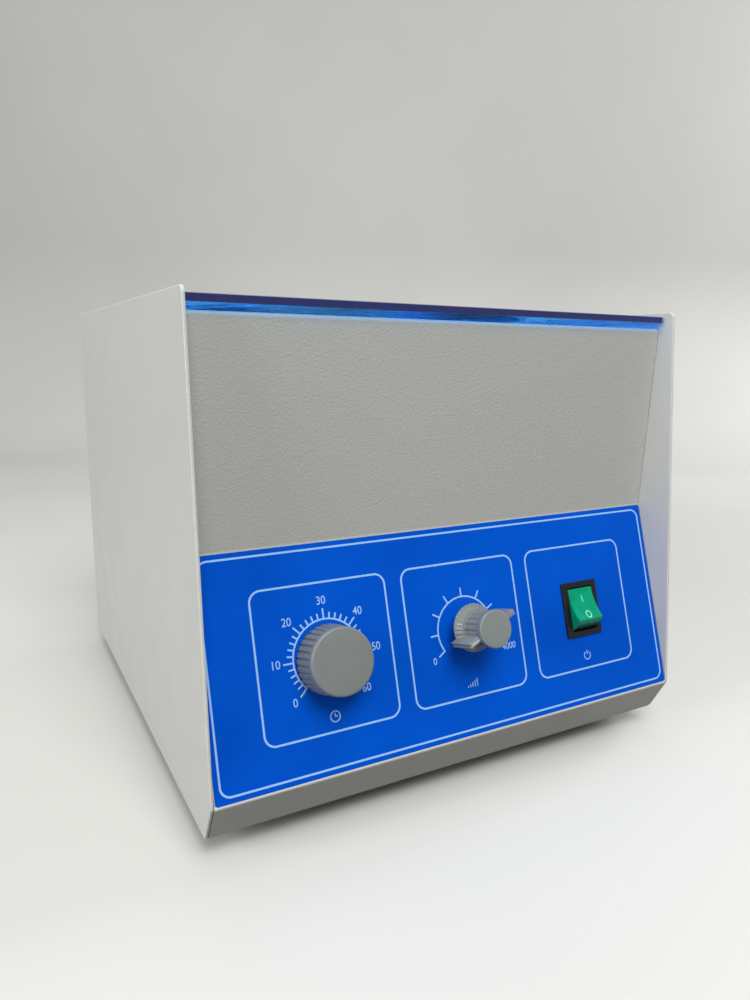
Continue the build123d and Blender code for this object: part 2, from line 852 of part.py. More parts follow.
with BuildPart() as cabinet_hinge_leaves:
    for middle in hinge_middles:
        with BuildSketch(Plane.YZ.offset(middle - hinge_width / 2)):
            with Locations((rear_outer + hinge_leaf / 2, hinge_z - hinge_relief)):
                Rectangle(hinge_leaf, body_leaf_length - hinge_relief, align=(Align.CENTER, Align.MAX))
        extrude(amount=hinge_width)
        with BuildSketch(Plane.YZ.offset(middle - hinge_middle / 2)):
            with Locations((rear_outer + hinge_leaf / 2, hinge_z)):
                Rectangle(hinge_leaf, body_leaf_length / 2, align=(Align.CENTER, Align.MAX))
            with Locations((hinge_y, hinge_z)):
                Circle(hinge_knuckle_radius)
                Circle(hinge_pin_radius, mode=Mode.SUBTRACT)
        extrude(amount=hinge_middle)
    with BuildSketch(rear_plane):
        with Locations((-hinge_spacing / 2, hinge_screw_height), (hinge_spacing / 2, hinge_screw_height)):
            with GridLocations(hinge_screw_spacing, 0, 2, 1):
                Circle(m3_shank + screw_hole_gap)
    extrude(amount=2 * hinge_leaf, mode=Mode.SUBTRACT)
cabinet_hinge_leaves.part.label = "cabinet_hinge_leaves"
export_step(cabinet_hinge_leaves.part, "parts/cabinet_hinge_leaves.step")

with BuildPart() as lid_hinge_leaves:
    for middle in hinge_middles:
        with BuildSketch(Plane.XY.offset(lid_top)):
            with Locations((middle, hinge_y - hinge_relief)):
                Rectangle(hinge_width, lid_leaf_length - hinge_relief, align=(Align.CENTER, Align.MAX))
        extrude(amount=hinge_leaf)
        for start in (middle - hinge_width / 2, middle + hinge_width / 2 - hinge_outer_width):
            with BuildSketch(Plane.YZ.offset(start)):
                with Locations((hinge_y, lid_top + hinge_leaf / 2)):
                    Rectangle(lid_leaf_length / 2, hinge_leaf, align=(Align.MAX, Align.CENTER))
                with Locations((hinge_y, hinge_z)):
                    Circle(hinge_knuckle_radius)
                    Circle(hinge_pin_radius + hinge_running_gap, mode=Mode.SUBTRACT)
            extrude(amount=hinge_outer_width)
    with BuildSketch(Plane.XY.offset(lid_top)):
        with Locations(*lid_screw_places):
            Circle(m3_shank + screw_hole_gap)
    extrude(amount=2 * hinge_leaf, mode=Mode.SUBTRACT)
lid_hinge_leaves.part.label = "lid_hinge_leaves"
export_step(lid_hinge_leaves.part, "parts/lid_hinge_leaves.step")

with BuildPart() as hinge_pins:
    for middle in hinge_middles:
        for side in (-1, 1):
            head_x = middle + side * (hinge_width / 2 + hinge_end_gap)
            with BuildSketch(Plane.YZ.offset(head_x)):
                with Locations((hinge_y, hinge_z)):
                    Circle(hinge_pin_head)
            extrude(amount=side * hinge_pin_head_height)
        with BuildSketch(Plane.YZ.offset(middle - hinge_width / 2 - hinge_end_gap)):
            with Locations((hinge_y, hinge_z)):
                Circle(hinge_pin_radius)
        extrude(amount=hinge_width + 2 * hinge_end_gap)
hinge_pins.part.label = "hinge_pins"
export_step(hinge_pins.part, "parts/hinge_pins.step")

lid_screw_seats = [Plane(origin=(x, y, lid_top + hinge_leaf), x_dir=(1, 0, 0), z_dir=(0, 0, 1))
                   for x, y in lid_screw_places]
lid_screw_length = hinge_leaf + lid_thickness + m3_nut_height
lid_screws = screws(lid_screw_seats, m3_shank, m3_head, m3_head_height, lid_screw_length)
lid_screws.part.label = "lid_screws"
export_step(lid_screws.part, "parts/lid_screws.step")

lid_nut_seats = [Plane(origin=(x, y, lid_under), x_dir=(1, 0, 0), z_dir=(0, 0, -1))
                 for x, y in lid_screw_places]
lid_nuts = nuts(lid_nut_seats, m3_shank, m3_nut, m3_nut_height)
lid_nuts.part.label = "lid_nuts"
export_step(lid_nuts.part, "parts/lid_nuts.step")


# Angle rotor: a dish whose surface is square to the tubes, a skirt along them and a hub

tilt_s = sin(radians(tube_tilt))
tilt_c = cos(radians(tube_tilt))


def along_dish(outward, along_tube):
    """Radius and height of a point measured from a tube mouth along the dish and down the tube."""
    return (mouth_circle_radius + outward * tilt_c + along_tube * tilt_s,
            mouth_height + outward * tilt_s - along_tube * tilt_c)


hub_top = mouth_height
hub_bottom = hub_top - hub_length
dish_inner = along_dish(-dish_inner_reach, 0)
web_bottom = dish_inner[1] - hub_web
under_radius = along_dish(0, dish_thickness)[0]
under_height = along_dish(0, dish_thickness)[1]
web_corner = (under_radius - (under_height - web_bottom) / tan(radians(tube_tilt)), web_bottom)
shaft_bore = shaft_radius + shaft_gap


def mouth_plane(index):
    """The plane of one tube mouth, facing up and inwards along the tube."""
    turn = radians(rotor_rest_turn) + 2 * pi * index / tube_places
    radius, height = along_dish(0, 0)
    return Plane(origin=(radius * cos(turn), rotor_y + radius * sin(turn), level(height)),
                 x_dir=(-sin(turn), cos(turn), 0),
                 z_dir=(-tilt_s * cos(turn), -tilt_s * sin(turn), tilt_c))


mouth_planes = [mouth_plane(index) for index in range(tube_places)]
sleeve_bore_depth = sleeve_length - sleeve_floor - cushion_thickness
cushion_radius = sleeve_bore_radius - cushion_ledge

with BuildPart() as rotor_body:
    with BuildSketch(rotor_section()):
        with BuildLine():
            Polyline((shaft_bore, hub_bottom), (hub_radius, hub_bottom), (hub_radius, web_bottom),
                     web_corner, along_dish(dish_outer_reach - skirt_thickness, dish_thickness),
                     along_dish(dish_outer_reach - skirt_thickness, skirt_length),
                     along_dish(dish_outer_reach, skirt_length), along_dish(dish_outer_reach, 0),
                     dish_inner, (hub_radius, dish_inner[1]), (hub_radius, hub_top),
                     (shaft_bore, hub_top), close=True)
        make_face()
    revolve(axis=rotor_axis)
    with BuildSketch(*mouth_planes):
        Circle(sleeve_bore_radius + sleeve_wall + sleeve_hole_gap)
    extrude(amount=-2 * dish_thickness, mode=Mode.SUBTRACT)
    with BuildSketch(*mouth_planes):
        Circle(sleeve_rim_radius + sleeve_hole_gap)
    extrude(amount=dish_thickness, mode=Mode.SUBTRACT)
rotor_body.part.label = "rotor_body"
export_step(rotor_body.part, "parts/rotor_body.step")

with BuildPart() as tube_sleeves:
    with BuildSketch(*mouth_planes):
        Circle(sleeve_rim_radius)
    extrude(amount=sleeve_rim_height)
    fillet(tube_sleeves.edges().filter_by(GeomType.CIRCLE), sleeve_rim_edge)
    with BuildSketch(*mouth_planes):
        Circle(sleeve_bore_radius + sleeve_wall)
    extrude(amount=-sleeve_length)
    with BuildSketch(*[plane.offset(sleeve_rim_height) for plane in mouth_planes]):
        Circle(sleeve_bore_radius)
    extrude(amount=-sleeve_rim_height - sleeve_bore_depth, mode=Mode.SUBTRACT)
    with BuildSketch(*[plane.offset(-sleeve_bore_depth) for plane in mouth_planes]):
        Circle(cushion_radius + cushion_gap)
    extrude(amount=-cushion_thickness, mode=Mode.SUBTRACT)
tube_sleeves.part.label = "tube_sleeves"
export_step(tube_sleeves.part, "parts/tube_sleeves.step")

with BuildPart() as tube_cushions:
    with BuildSketch(*[plane.offset(-sleeve_bore_depth) for plane in mouth_planes]):
        Circle(cushion_radius)
    extrude(amount=-cushion_thickness)
tube_cushions.part.label = "tube_cushions"
export_step(tube_cushions.part, "parts/tube_cushions.step")

shaft_top = hub_top + rotor_nut_height - shaft_above_nut

with BuildPart() as rotor_nut:
    with BuildSketch(rotor_plane(hub_top)):
        RegularPolygon(rotor_nut_radius, 6)
    extrude(amount=rotor_nut_height)
    with BuildSketch(rotor_section()):
        with BuildLine():
            Polyline((0, hub_top), (rotor_nut_radius, hub_top),
                     (rotor_nut_radius, hub_top + rotor_nut_height * rotor_nut_shoulder_share),
                     (rotor_nut_radius * rotor_nut_top_share, hub_top + rotor_nut_height),
                     (0, hub_top + rotor_nut_height), close=True)
        make_face()
    revolve(axis=rotor_axis, mode=Mode.INTERSECT)
    with BuildSketch(rotor_plane(hub_top)):
        Circle(rotor_flange_radius)
    extrude(amount=rotor_flange_height)
    with BuildSketch(rotor_plane(hub_top)):
        Circle(shaft_bore)
    extrude(amount=shaft_top - hub_top + shaft_gap, mode=Mode.SUBTRACT)
rotor_nut.part.label = "rotor_nut"
export_step(rotor_nut.part, "parts/rotor_nut.step")


# Drive shaft, armature and fan: they turn with the rotor

with BuildPart() as drive_shaft:
    with BuildSketch(rotor_plane(shaft_bottom)):
        Circle(shaft_radius)
    extrude(amount=shaft_top - shaft_bottom)
    chamfer(drive_shaft.edges().filter_by(GeomType.CIRCLE), shaft_chamfer)
drive_shaft.part.label = "drive_shaft"
export_step(drive_shaft.part, "parts/drive_shaft.step")

core_middle = core_bottom + core_length / 2
slot_bottom = armature_radius - slot_depth

with BuildPart() as armature_core:
    with BuildSketch(rotor_plane(core_bottom)):
        Circle(armature_radius)
        Circle(shaft_bore, mode=Mode.SUBTRACT)
        with PolarLocations((armature_radius + slot_bottom) / 2, armature_slots):
            Rectangle(slot_depth, slot_width, mode=Mode.SUBTRACT)
    extrude(amount=core_length)
armature_core.part.label = "armature_core"
export_step(armature_core.part, "parts/armature_core.step")

with BuildPart() as armature_windings:
    with BuildSketch(rotor_plane(core_bottom)):
        with PolarLocations(slot_bottom + winding_gap + winding_bar / 2, armature_slots):
            Rectangle(winding_bar, slot_width - 2 * winding_gap)
    extrude(amount=core_length)
    with BuildSketch(rotor_plane(core_bottom - winding_height), rotor_plane(core_bottom + core_length)):
        Circle(winding_radius)
        Circle(winding_bore, mode=Mode.SUBTRACT)
    extrude(amount=winding_height)
    fillet(armature_windings.edges().group_by(Axis.Z)[0], winding_edge_radius)
    fillet(armature_windings.edges().group_by(Axis.Z)[-1], winding_edge_radius)
armature_windings.part.label = "armature_windings"
export_step(armature_windings.part, "parts/armature_windings.step")

with BuildPart() as commutator:
    with BuildSketch(rotor_plane(commutator_bottom)):
        Circle(commutator_radius)
        Circle(shaft_bore, mode=Mode.SUBTRACT)
        with PolarLocations(commutator_radius, commutator_bars):
            Rectangle(2 * commutator_slot, commutator_slot / 2, mode=Mode.SUBTRACT)
    extrude(amount=commutator_height)
commutator.part.label = "commutator"
export_step(commutator.part, "parts/commutator.step")

with BuildPart() as cooling_fan:
    with BuildSketch(rotor_plane(fan_bottom)):
        Circle(fan_radius)
        Circle(shaft_bore, mode=Mode.SUBTRACT)
    extrude(amount=fan_disc)
    with BuildSketch(rotor_plane(fan_bottom)):
        Circle(fan_hub_radius)
        Circle(shaft_bore, mode=Mode.SUBTRACT)
        with PolarLocations((fan_radius + fan_hub_radius) / 2, fan_blades):
            Rectangle(fan_radius - fan_hub_radius - fan_disc, fan_disc, rotation=fan_blade_angle)
    extrude(amount=fan_height)
cooling_fan.part.label = "cooling_fan"
export_step(cooling_fan.part, "parts/cooling_fan.step")


# Ball bearings: inner rings turn with the shaft, outer rings and balls stay in the end caps

lower_seat = lower_boss_bottom + bearing_shelf
upper_seat = upper_boss_top - bearing_shelf - bearing_height
bearing_bottoms = (lower_seat, upper_seat)
ball_circle = (bearing_outer_radius + shaft_radius) / 2 + ball_offset

with BuildPart() as bearing_inner_rings:
    with BuildSketch(*[rotor_plane(height) for height in bearing_bottoms]):
        Circle(shaft_radius + shaft_gap + bearing_ring)
        Circle(shaft_bore, mode=Mode.SUBTRACT)
    extrude(amount=bearing_height)
bearing_inner_rings.part.label = "bearing_inner_rings"
export_step(bearing_inner_rings.part, "parts/bearing_inner_rings.step")

with BuildPart() as bearing_outer_rings:
    with BuildSketch(*[rotor_plane(height) for height in bearing_bottoms]):
        Circle(bearing_outer_radius)
        Circle(bearing_outer_radius - bearing_ring, mode=Mode.SUBTRACT)
    extrude(amount=bearing_height)
    with Locations(*[rotor_plane(height + bearing_height / 2) for height in bearing_bottoms]):
        with PolarLocations(ball_circle, bearing_balls):
            Sphere(bearing_ball_radius)
bearing_outer_rings.part.label = "bearing_outer_rings"
export_step(bearing_outer_rings.part, "parts/bearing_outer_rings.step")


# Motor: can with flange, two end caps, field core with two coils, brushes in their holders

can_bolt_angles = (30, 150, 270)
can_bolt_places = [(can_bolt_circle * cos(radians(a)), can_bolt_circle * sin(radians(a)))
                   for a in can_bolt_angles]
brush_level = commutator_bottom + commutator_height / 2
holder_width = brush_width + 2 * brush_holder_wall
holder_height = brush_height + 2 * brush_holder_wall


def outward_plane(angle, height, radius):
    """A vertical plane facing away from the rotor's axis, its local y pointing up."""
    turn = radians(angle)
    return Plane(origin=(radius * cos(turn), rotor_y + radius * sin(turn), level(height)),
                 x_dir=(-sin(turn), cos(turn), 0), z_dir=(cos(turn), sin(turn), 0))


flange_bottom = mount_plate_height + mount_plate_thickness
vent_angles = [360 * (index + 0.5) / vent_slot_count for index in range(vent_slot_count)]

with BuildPart() as motor_can:
    with BuildSketch(rotor_plane(can_bottom)):
        Circle(motor_radius)
        Circle(motor_radius - motor_wall, mode=Mode.SUBTRACT)
    extrude(amount=can_top - can_bottom)
    with BuildSketch(rotor_plane(flange_bottom)):
        Circle(can_flange_radius)
        Circle(motor_radius - motor_wall, mode=Mode.SUBTRACT)
        with Locations(*can_bolt_places):
            Circle(m4_shank + screw_hole_gap, mode=Mode.SUBTRACT)
    extrude(amount=can_flange_thickness)
    with BuildSketch(*[outward_plane(a, can_vent_height, motor_radius - 2 * motor_wall)
                       for a in vent_angles]):
        SlotOverall(can_vent_length, vent_width, rotation=90)
    extrude(amount=3 * motor_wall, mode=Mode.SUBTRACT)
    with BuildSketch(*[outward_plane(a, brush_level, motor_radius - 2 * motor_wall) for a in (0, 180)]):
        Rectangle(holder_width + 2 * seal_clearance, holder_height + 2 * seal_clearance)
    extrude(amount=3 * motor_wall, mode=Mode.SUBTRACT)
motor_can.part.label = "motor_can"
export_step(motor_can.part, "parts/motor_can.step")

with BuildPart() as motor_end_caps:
    with BuildSketch(rotor_section()):
        with BuildLine():
            Polyline((bearing_lip_radius, upper_boss_top), (cap_boss_radius, upper_boss_top),
                     (cap_boss_radius, can_top + cap_thickness), (motor_radius, can_top + cap_thickness),
                     (motor_radius, can_top), (bearing_outer_radius, can_top),
                     (bearing_outer_radius, upper_seat + bearing_height),
                     (bearing_lip_radius, upper_seat + bearing_height), close=True)
        make_face()
        with BuildLine():
            Polyline((bearing_lip_radius, lower_boss_bottom), (cap_boss_radius, lower_boss_bottom),
                     (cap_boss_radius, can_bottom - cap_thickness),
                     (motor_radius, can_bottom - cap_thickness), (motor_radius, can_bottom),
                     (bearing_outer_radius, can_bottom), (bearing_outer_radius, lower_seat),
                     (bearing_lip_radius, lower_seat), close=True)
        make_face()
    revolve(axis=rotor_axis)
    with BuildSketch(rotor_plane(can_bottom - cap_thickness)):
        with PolarLocations((cap_boss_radius + motor_radius) / 2, cap_vent_count):
            Circle(cap_vent_radius)
    extrude(amount=cap_thickness, mode=Mode.SUBTRACT)
motor_end_caps.part.label = "motor_end_caps"
export_step(motor_end_caps.part, "parts/motor_end_caps.step")

core_outer = motor_radius - motor_wall - seal_clearance
shoe_inner = armature_radius + air_gap
shoe_outer = shoe_inner + shoe_thickness

with BuildPart() as field_core:
    with BuildSketch(rotor_plane(core_bottom)):
        Circle(core_outer)
        Circle(core_ring_inner, mode=Mode.SUBTRACT)
        with PolarLocations((core_ring_inner + shoe_outer) / 2, 2):
            Rectangle(core_ring_inner - shoe_outer + shoe_thickness, pole_neck)
    extrude(amount=core_length)
    with BuildSketch(rotor_plane(core_bottom)):
        for start in (-pole_half_angle, 180 - pole_half_angle):
            with BuildLine():
                inner_arc = CenterArc((0, 0), shoe_inner, start, 2 * pole_half_angle)
                outer_arc = CenterArc((0, 0), shoe_outer, start, 2 * pole_half_angle)
                Line(inner_arc @ 0, outer_arc @ 0)
                Line(inner_arc @ 1, outer_arc @ 1)
            make_face()
    extrude(amount=core_length)
    with BuildSketch(rotor_plane(core_bottom)):
        Circle(shoe_inner)
    extrude(amount=core_length, mode=Mode.SUBTRACT)
field_core.part.label = "field_core"
export_step(field_core.part, "parts/field_core.step")

coil_inner = shoe_outer + winding_gap
with BuildPart() as field_coils:
    with BuildSketch(*[outward_plane(a, core_middle, coil_inner) for a in (0, 180)]):
        RectangleRounded(pole_neck + 2 * coil_width, core_length + 2 * coil_overhang, coil_width)
        Rectangle(pole_neck + 2 * winding_gap, core_length + 2 * winding_gap, mode=Mode.SUBTRACT)
    extrude(amount=coil_thickness)
field_coils.part.label = "field_coils"
export_step(field_coils.part, "parts/field_coils.step")

holder_start = commutator_radius + brush_gap + brush_stand_out
holder_end = motor_radius + brush_holder_wall

with BuildPart() as brush_holders:
    with BuildSketch(*[outward_plane(a, brush_level, holder_start) for a in (0, 180)]):
        Rectangle(holder_width, holder_height)
        Rectangle(brush_width + 2 * bush_running_gap, brush_height + 2 * bush_running_gap,
                  mode=Mode.SUBTRACT)
    extrude(amount=holder_end - holder_start)
    with BuildSketch(*[outward_plane(a, brush_level, holder_end) for a in (0, 180)]):
        Circle(brush_cap_radius)
    extrude(amount=brush_cap_height)
    chamfer(brush_holders.faces().filter_by(Axis.X).sort_by(Axis.X)[0].edges(), brush_cap_chamfer)
    chamfer(brush_holders.faces().filter_by(Axis.X).sort_by(Axis.X)[-1].edges(), brush_cap_chamfer)
brush_holders.part.label = "brush_holders"
export_step(brush_holders.part, "parts/brush_holders.step")

with BuildPart() as carbon_brushes:
    with BuildSketch(*[outward_plane(a, brush_level, commutator_radius + brush_gap) for a in (0, 180)]):
        Rectangle(brush_width, brush_height)
    extrude(amount=brush_length)
    with BuildSketch(rotor_plane(commutator_bottom)):
        Circle(commutator_radius + brush_gap)
    extrude(amount=commutator_height, mode=Mode.SUBTRACT)
carbon_brushes.part.label = "carbon_brushes"
export_step(carbon_brushes.part, "parts/carbon_brushes.step")


# Motor suspension: a round plate on three rubber dampers and three posts

damper_bottom = mount_plate_height - damper_height
post_planes = [Plane(origin=(x, y, base_top)) for x, y in post_places]
damper_planes = [Plane(origin=(x, y, level(damper_bottom))) for x, y in post_places]

with BuildPart() as motor_mount_plate:
    with BuildSketch(rotor_plane(mount_plate_height)):
        Circle(mount_plate_radius)
        Circle(motor_radius + bush_hole_gap, mode=Mode.SUBTRACT)
        with Locations(*can_bolt_places):
            Circle(m4_shank, mode=Mode.SUBTRACT)
        with PolarLocations(damper_circle, damper_count, start_angle=90):
            Circle(m5_shank + screw_hole_gap, mode=Mode.SUBTRACT)
        with PolarLocations(damper_circle, damper_count, start_angle=30):
            SlotOverall(damper_circle / 2, damper_radius, rotation=90, mode=Mode.SUBTRACT)
    extrude(amount=mount_plate_thickness)
motor_mount_plate.part.label = "motor_mount_plate"
export_step(motor_mount_plate.part, "parts/motor_mount_plate.step")

with BuildPart() as mount_dampers:
    with BuildSketch(*damper_planes):
        Circle(damper_radius)
        Circle(m5_shank + screw_hole_gap, mode=Mode.SUBTRACT)
    extrude(amount=damper_height)
    with BuildSketch(*[plane.offset(damper_height / 2 - damper_waist / 2) for plane in damper_planes]):
        Circle(damper_radius)
        Circle(damper_radius - damper_groove, mode=Mode.SUBTRACT)
    extrude(amount=damper_waist, mode=Mode.SUBTRACT)
mount_dampers.part.label = "mount_dampers"
export_step(mount_dampers.part, "parts/mount_dampers.step")

with BuildPart() as mount_posts:
    with BuildSketch(*post_planes):
        RegularPolygon(post_radius, 6)
        Circle(m5_shank, mode=Mode.SUBTRACT)
    extrude(amount=level(damper_bottom) - base_top)
mount_posts.part.label = "mount_posts"
export_step(mount_posts.part, "parts/mount_posts.step")

post_top_seats = [Plane(origin=(x, y, level(flange_bottom))) for x, y in post_places]
post_base_seats = [Plane(origin=(x, y, base_bottom), x_dir=(1, 0, 0), z_dir=(0, 0, -1))
                   for x, y in post_places]
can_bolt_seats = [Plane(origin=(x, rotor_y + y, level(flange_bottom + can_flange_thickness)))
                  for x, y in can_bolt_places]
plate_bolts = screws(post_top_seats + post_base_seats, m5_shank, m5_head, m5_head_height,
                     mount_bolt_length)
can_bolts = screws(can_bolt_seats, m4_shank, m4_head, m4_head_height, can_bolt_length)

with BuildPart() as motor_bolts:
    add(plate_bolts.part)
    add(can_bolts.part)
motor_bolts.part.label = "motor_bolts"
export_step(motor_bolts.part, "parts/motor_bolts.step")


# Control label and its raised print

label_length = control_length - 2 * label_margin
label_half = panel_half - label_side_margin
label_middle = control_length / 2
frame_xs = [frame_middle_x + step * frame_spacing for step in (-1, 0, 1)]

with BuildPart() as control_label:
    with BuildSketch(control_plane):
        with Locations((0, label_middle)):
            RectangleRounded(2 * label_half, label_length, label_corner)
        with Locations((timer_x, timer_face_height)):
            Circle(timer_bush_radius + bush_hole_gap, mode=Mode.SUBTRACT)
            with GridLocations(timer_screw_spacing, 0, 2, 1):
                Circle(m3_head + screw_hole_gap, mode=Mode.SUBTRACT)
        with Locations((speed_x, speed_face_height)):
            Circle(speed_bush_radius + bush_hole_gap, mode=Mode.SUBTRACT)
        with Locations((switch_x, switch_face_height)):
            Rectangle(switch_body_width + 2 * bush_hole_gap, switch_body_length + 2 * bush_hole_gap,
                      mode=Mode.SUBTRACT)
    extrude(amount=label_thickness)
control_label.part.label = "control_label"
export_step(control_label.part, "parts/control_label.step")


def dial(centre_x, radius, scale_angle, steps, mark_length, long_mark_length, long_every):
    """A printed scale: an arc open at the bottom with marks pointing outwards."""
    start = 90 + scale_angle / 2
    with BuildPart() as scale:
        with BuildSketch(label_plane):
            with BuildLine():
                CenterArc((centre_x, dial_height), radius, start, -scale_angle)
                for step in range(steps + 1):
                    turn = radians(start - scale_angle * step / steps)
                    length = long_mark_length if step % long_every == 0 else mark_length
                    Line((centre_x + radius * cos(turn), dial_height + radius * sin(turn)),
                         (centre_x + (radius + length) * cos(turn),
                          dial_height + (radius + length) * sin(turn)))
            trace(line_width=dial_line)
        extrude(amount=print_thickness)
    return scale


timer_dial = dial(timer_x, timer_dial_radius, timer_scale_angle, timer_minutes // timer_minutes_per_mark,
                  timer_mark_length, timer_long_mark_length, timer_marks_per_number)
speed_dial = dial(speed_x, speed_dial_radius, speed_scale_angle, speed_scale_steps, speed_mark_length,
                  speed_mark_length, 1)

with BuildPart() as panel_print:
    with BuildSketch(label_plane):
        with Locations((0, label_middle)):
            RectangleRounded(2 * (label_half - border_inset) + print_line,
                             label_length - 2 * border_inset + print_line, border_corner)
            RectangleRounded(2 * (label_half - border_inset) - print_line,
                             label_length - 2 * border_inset - print_line, border_corner - print_line,
                             mode=Mode.SUBTRACT)
        for x in frame_xs:
            with Locations((x, frame_height)):
                RectangleRounded(frame_size + print_line, frame_size + print_line, frame_corner)
                RectangleRounded(frame_size - print_line, frame_size - print_line,
                                 frame_corner - print_line, mode=Mode.SUBTRACT)
    extrude(amount=print_thickness)
    add(timer_dial.part)
    add(speed_dial.part)
panel_print.part.label = "panel_print"
export_step(panel_print.part, "parts/panel_print.step")


# Timer: clockwork box behind the panel, its shaft and a hollow fluted knob

timer_plane = Plane(origin=control_plane.from_local_coords((timer_x, timer_face_height, 0)),
                    x_dir=control_plane.x_dir, z_dir=control_plane.z_dir)
panel_inner = -sheet_thickness
timer_base = label_thickness + timer_knob_gap
timer_face = timer_base + timer_knob_length
timer_shaft_end = timer_face - knob_face_wall

with BuildPart() as timer_body:
    with BuildSketch(timer_plane.offset(panel_inner)):
        RectangleRounded(timer_body_size, timer_body_size, timer_body_corner)
    extrude(amount=-timer_body_depth)
    with BuildSketch(timer_plane.offset(panel_inner)):
        Circle(timer_bush_radius)
    extrude(amount=timer_bush_length - panel_inner)
    with BuildSketch(timer_plane.offset(timer_bush_length)):
        Circle(timer_shaft_radius + bush_running_gap)
    extrude(amount=-timer_bush_length - shaft_in_body, mode=Mode.SUBTRACT)
    with BuildSketch(timer_plane.offset(panel_inner)):
        with GridLocations(timer_screw_spacing, 0, 2, 1):
            Circle(m3_shank)
    extrude(amount=-shaft_in_body, mode=Mode.SUBTRACT)
    with BuildSketch(timer_plane.offset(panel_inner - timer_body_depth)):
        with GridLocations(terminal_spacing, 0, 3, 1):
            Rectangle(terminal_width, terminal_thickness)
    extrude(amount=-terminal_length)
timer_body.part.label = "timer_body"
export_step(timer_body.part, "parts/timer_body.step")


def flute_plane(index):
    """The plane square to one flute just behind the knob, leaning with the knob's side."""
    turn = 2 * pi * index / timer_flutes
    lean = atan2(timer_knob_radius - timer_knob_face_radius, timer_knob_length)
    outward = timer_plane.x_dir * cos(turn) + timer_plane.y_dir * sin(turn)
    flute_circle = timer_knob_radius + timer_flute_radius - timer_flute_depth
    return Plane(origin=timer_plane.offset(timer_base - timer_flute_radius).origin + outward * flute_circle,
                 x_dir=timer_plane.y_dir * cos(turn) - timer_plane.x_dir * sin(turn),
                 z_dir=timer_plane.z_dir * cos(lean) - outward * sin(lean))


with BuildPart() as timer_knob:
    with BuildSketch(Plane(origin=timer_plane.origin, x_dir=timer_plane.x_dir,
                           z_dir=-timer_plane.y_dir)):
        with BuildLine():
            Polyline((timer_shaft_radius + shaft_gap, timer_base + timer_knob_hollow),
                     (timer_knob_radius - timer_knob_wall, timer_base + timer_knob_hollow),
                     (timer_knob_radius - timer_knob_wall, timer_base),
                     (timer_knob_radius, timer_base), (timer_knob_face_radius, timer_face),
                     (0, timer_face), (0, timer_shaft_end + shaft_gap),
                     (timer_shaft_radius + shaft_gap, timer_shaft_end + shaft_gap), close=True)
        make_face()
    revolve(axis=Axis(timer_plane.origin, timer_plane.z_dir))
    fillet(timer_knob.edges().filter_by(GeomType.CIRCLE).sort_by(Axis(timer_plane.origin,
                                                                     timer_plane.z_dir))[-1],
           knob_edge_radius)
    with BuildSketch(*[flute_plane(index) for index in range(timer_flutes)]):
        Circle(timer_flute_radius)
    extrude(amount=timer_flute_radius + timer_knob_length - timer_flute_margin, mode=Mode.SUBTRACT)
timer_knob.part.label = "timer_knob"
export_step(timer_knob.part, "parts/timer_knob.step")

with BuildPart() as timer_shaft:
    with BuildSketch(timer_plane.offset(panel_inner - shaft_in_body / 2)):
        Circle(timer_shaft_radius)
    extrude(amount=timer_shaft_end - panel_inner + shaft_in_body / 2)
timer_shaft.part.label = "timer_shaft"
export_step(timer_shaft.part, "parts/timer_shaft.step")


# Speed control: potentiometer behind the panel, its shaft and a raised knob with a cross bar

speed_plane = Plane(origin=control_plane.from_local_coords((speed_x, speed_face_height, 0)),
                    x_dir=control_plane.x_dir, z_dir=control_plane.z_dir)
speed_axis = Axis(speed_plane.origin, speed_plane.z_dir)
speed_base = label_thickness + speed_knob_gap
speed_face = speed_base + speed_knob_length
speed_cap_bottom = speed_face - speed_cap_height
speed_shaft_end = speed_base + shaft_in_knob

with BuildPart() as speed_potentiometer:
    with BuildSketch(speed_plane.offset(panel_inner)):
        Circle(speed_body_radius)
    extrude(amount=-speed_body_depth)
    with BuildSketch(speed_plane.offset(panel_inner)):
        Circle(speed_bush_radius)
    extrude(amount=speed_bush_length - panel_inner)
    with BuildSketch(speed_plane.offset(speed_bush_length)):
        Circle(speed_shaft_radius + bush_running_gap)
    extrude(amount=-speed_bush_length - shaft_in_body, mode=Mode.SUBTRACT)
    with BuildSketch(speed_plane.offset(panel_inner - speed_body_depth / 2)):
        with Locations((0, -speed_body_radius - lug_length / 2 + lug_rooting / 2)):
            with GridLocations(lug_spacing, 0, 3, 1):
                Rectangle(lug_width, lug_length + lug_rooting)
    extrude(amount=-terminal_thickness)
speed_potentiometer.part.label = "speed_potentiometer"
export_step(speed_potentiometer.part, "parts/speed_potentiometer.step")

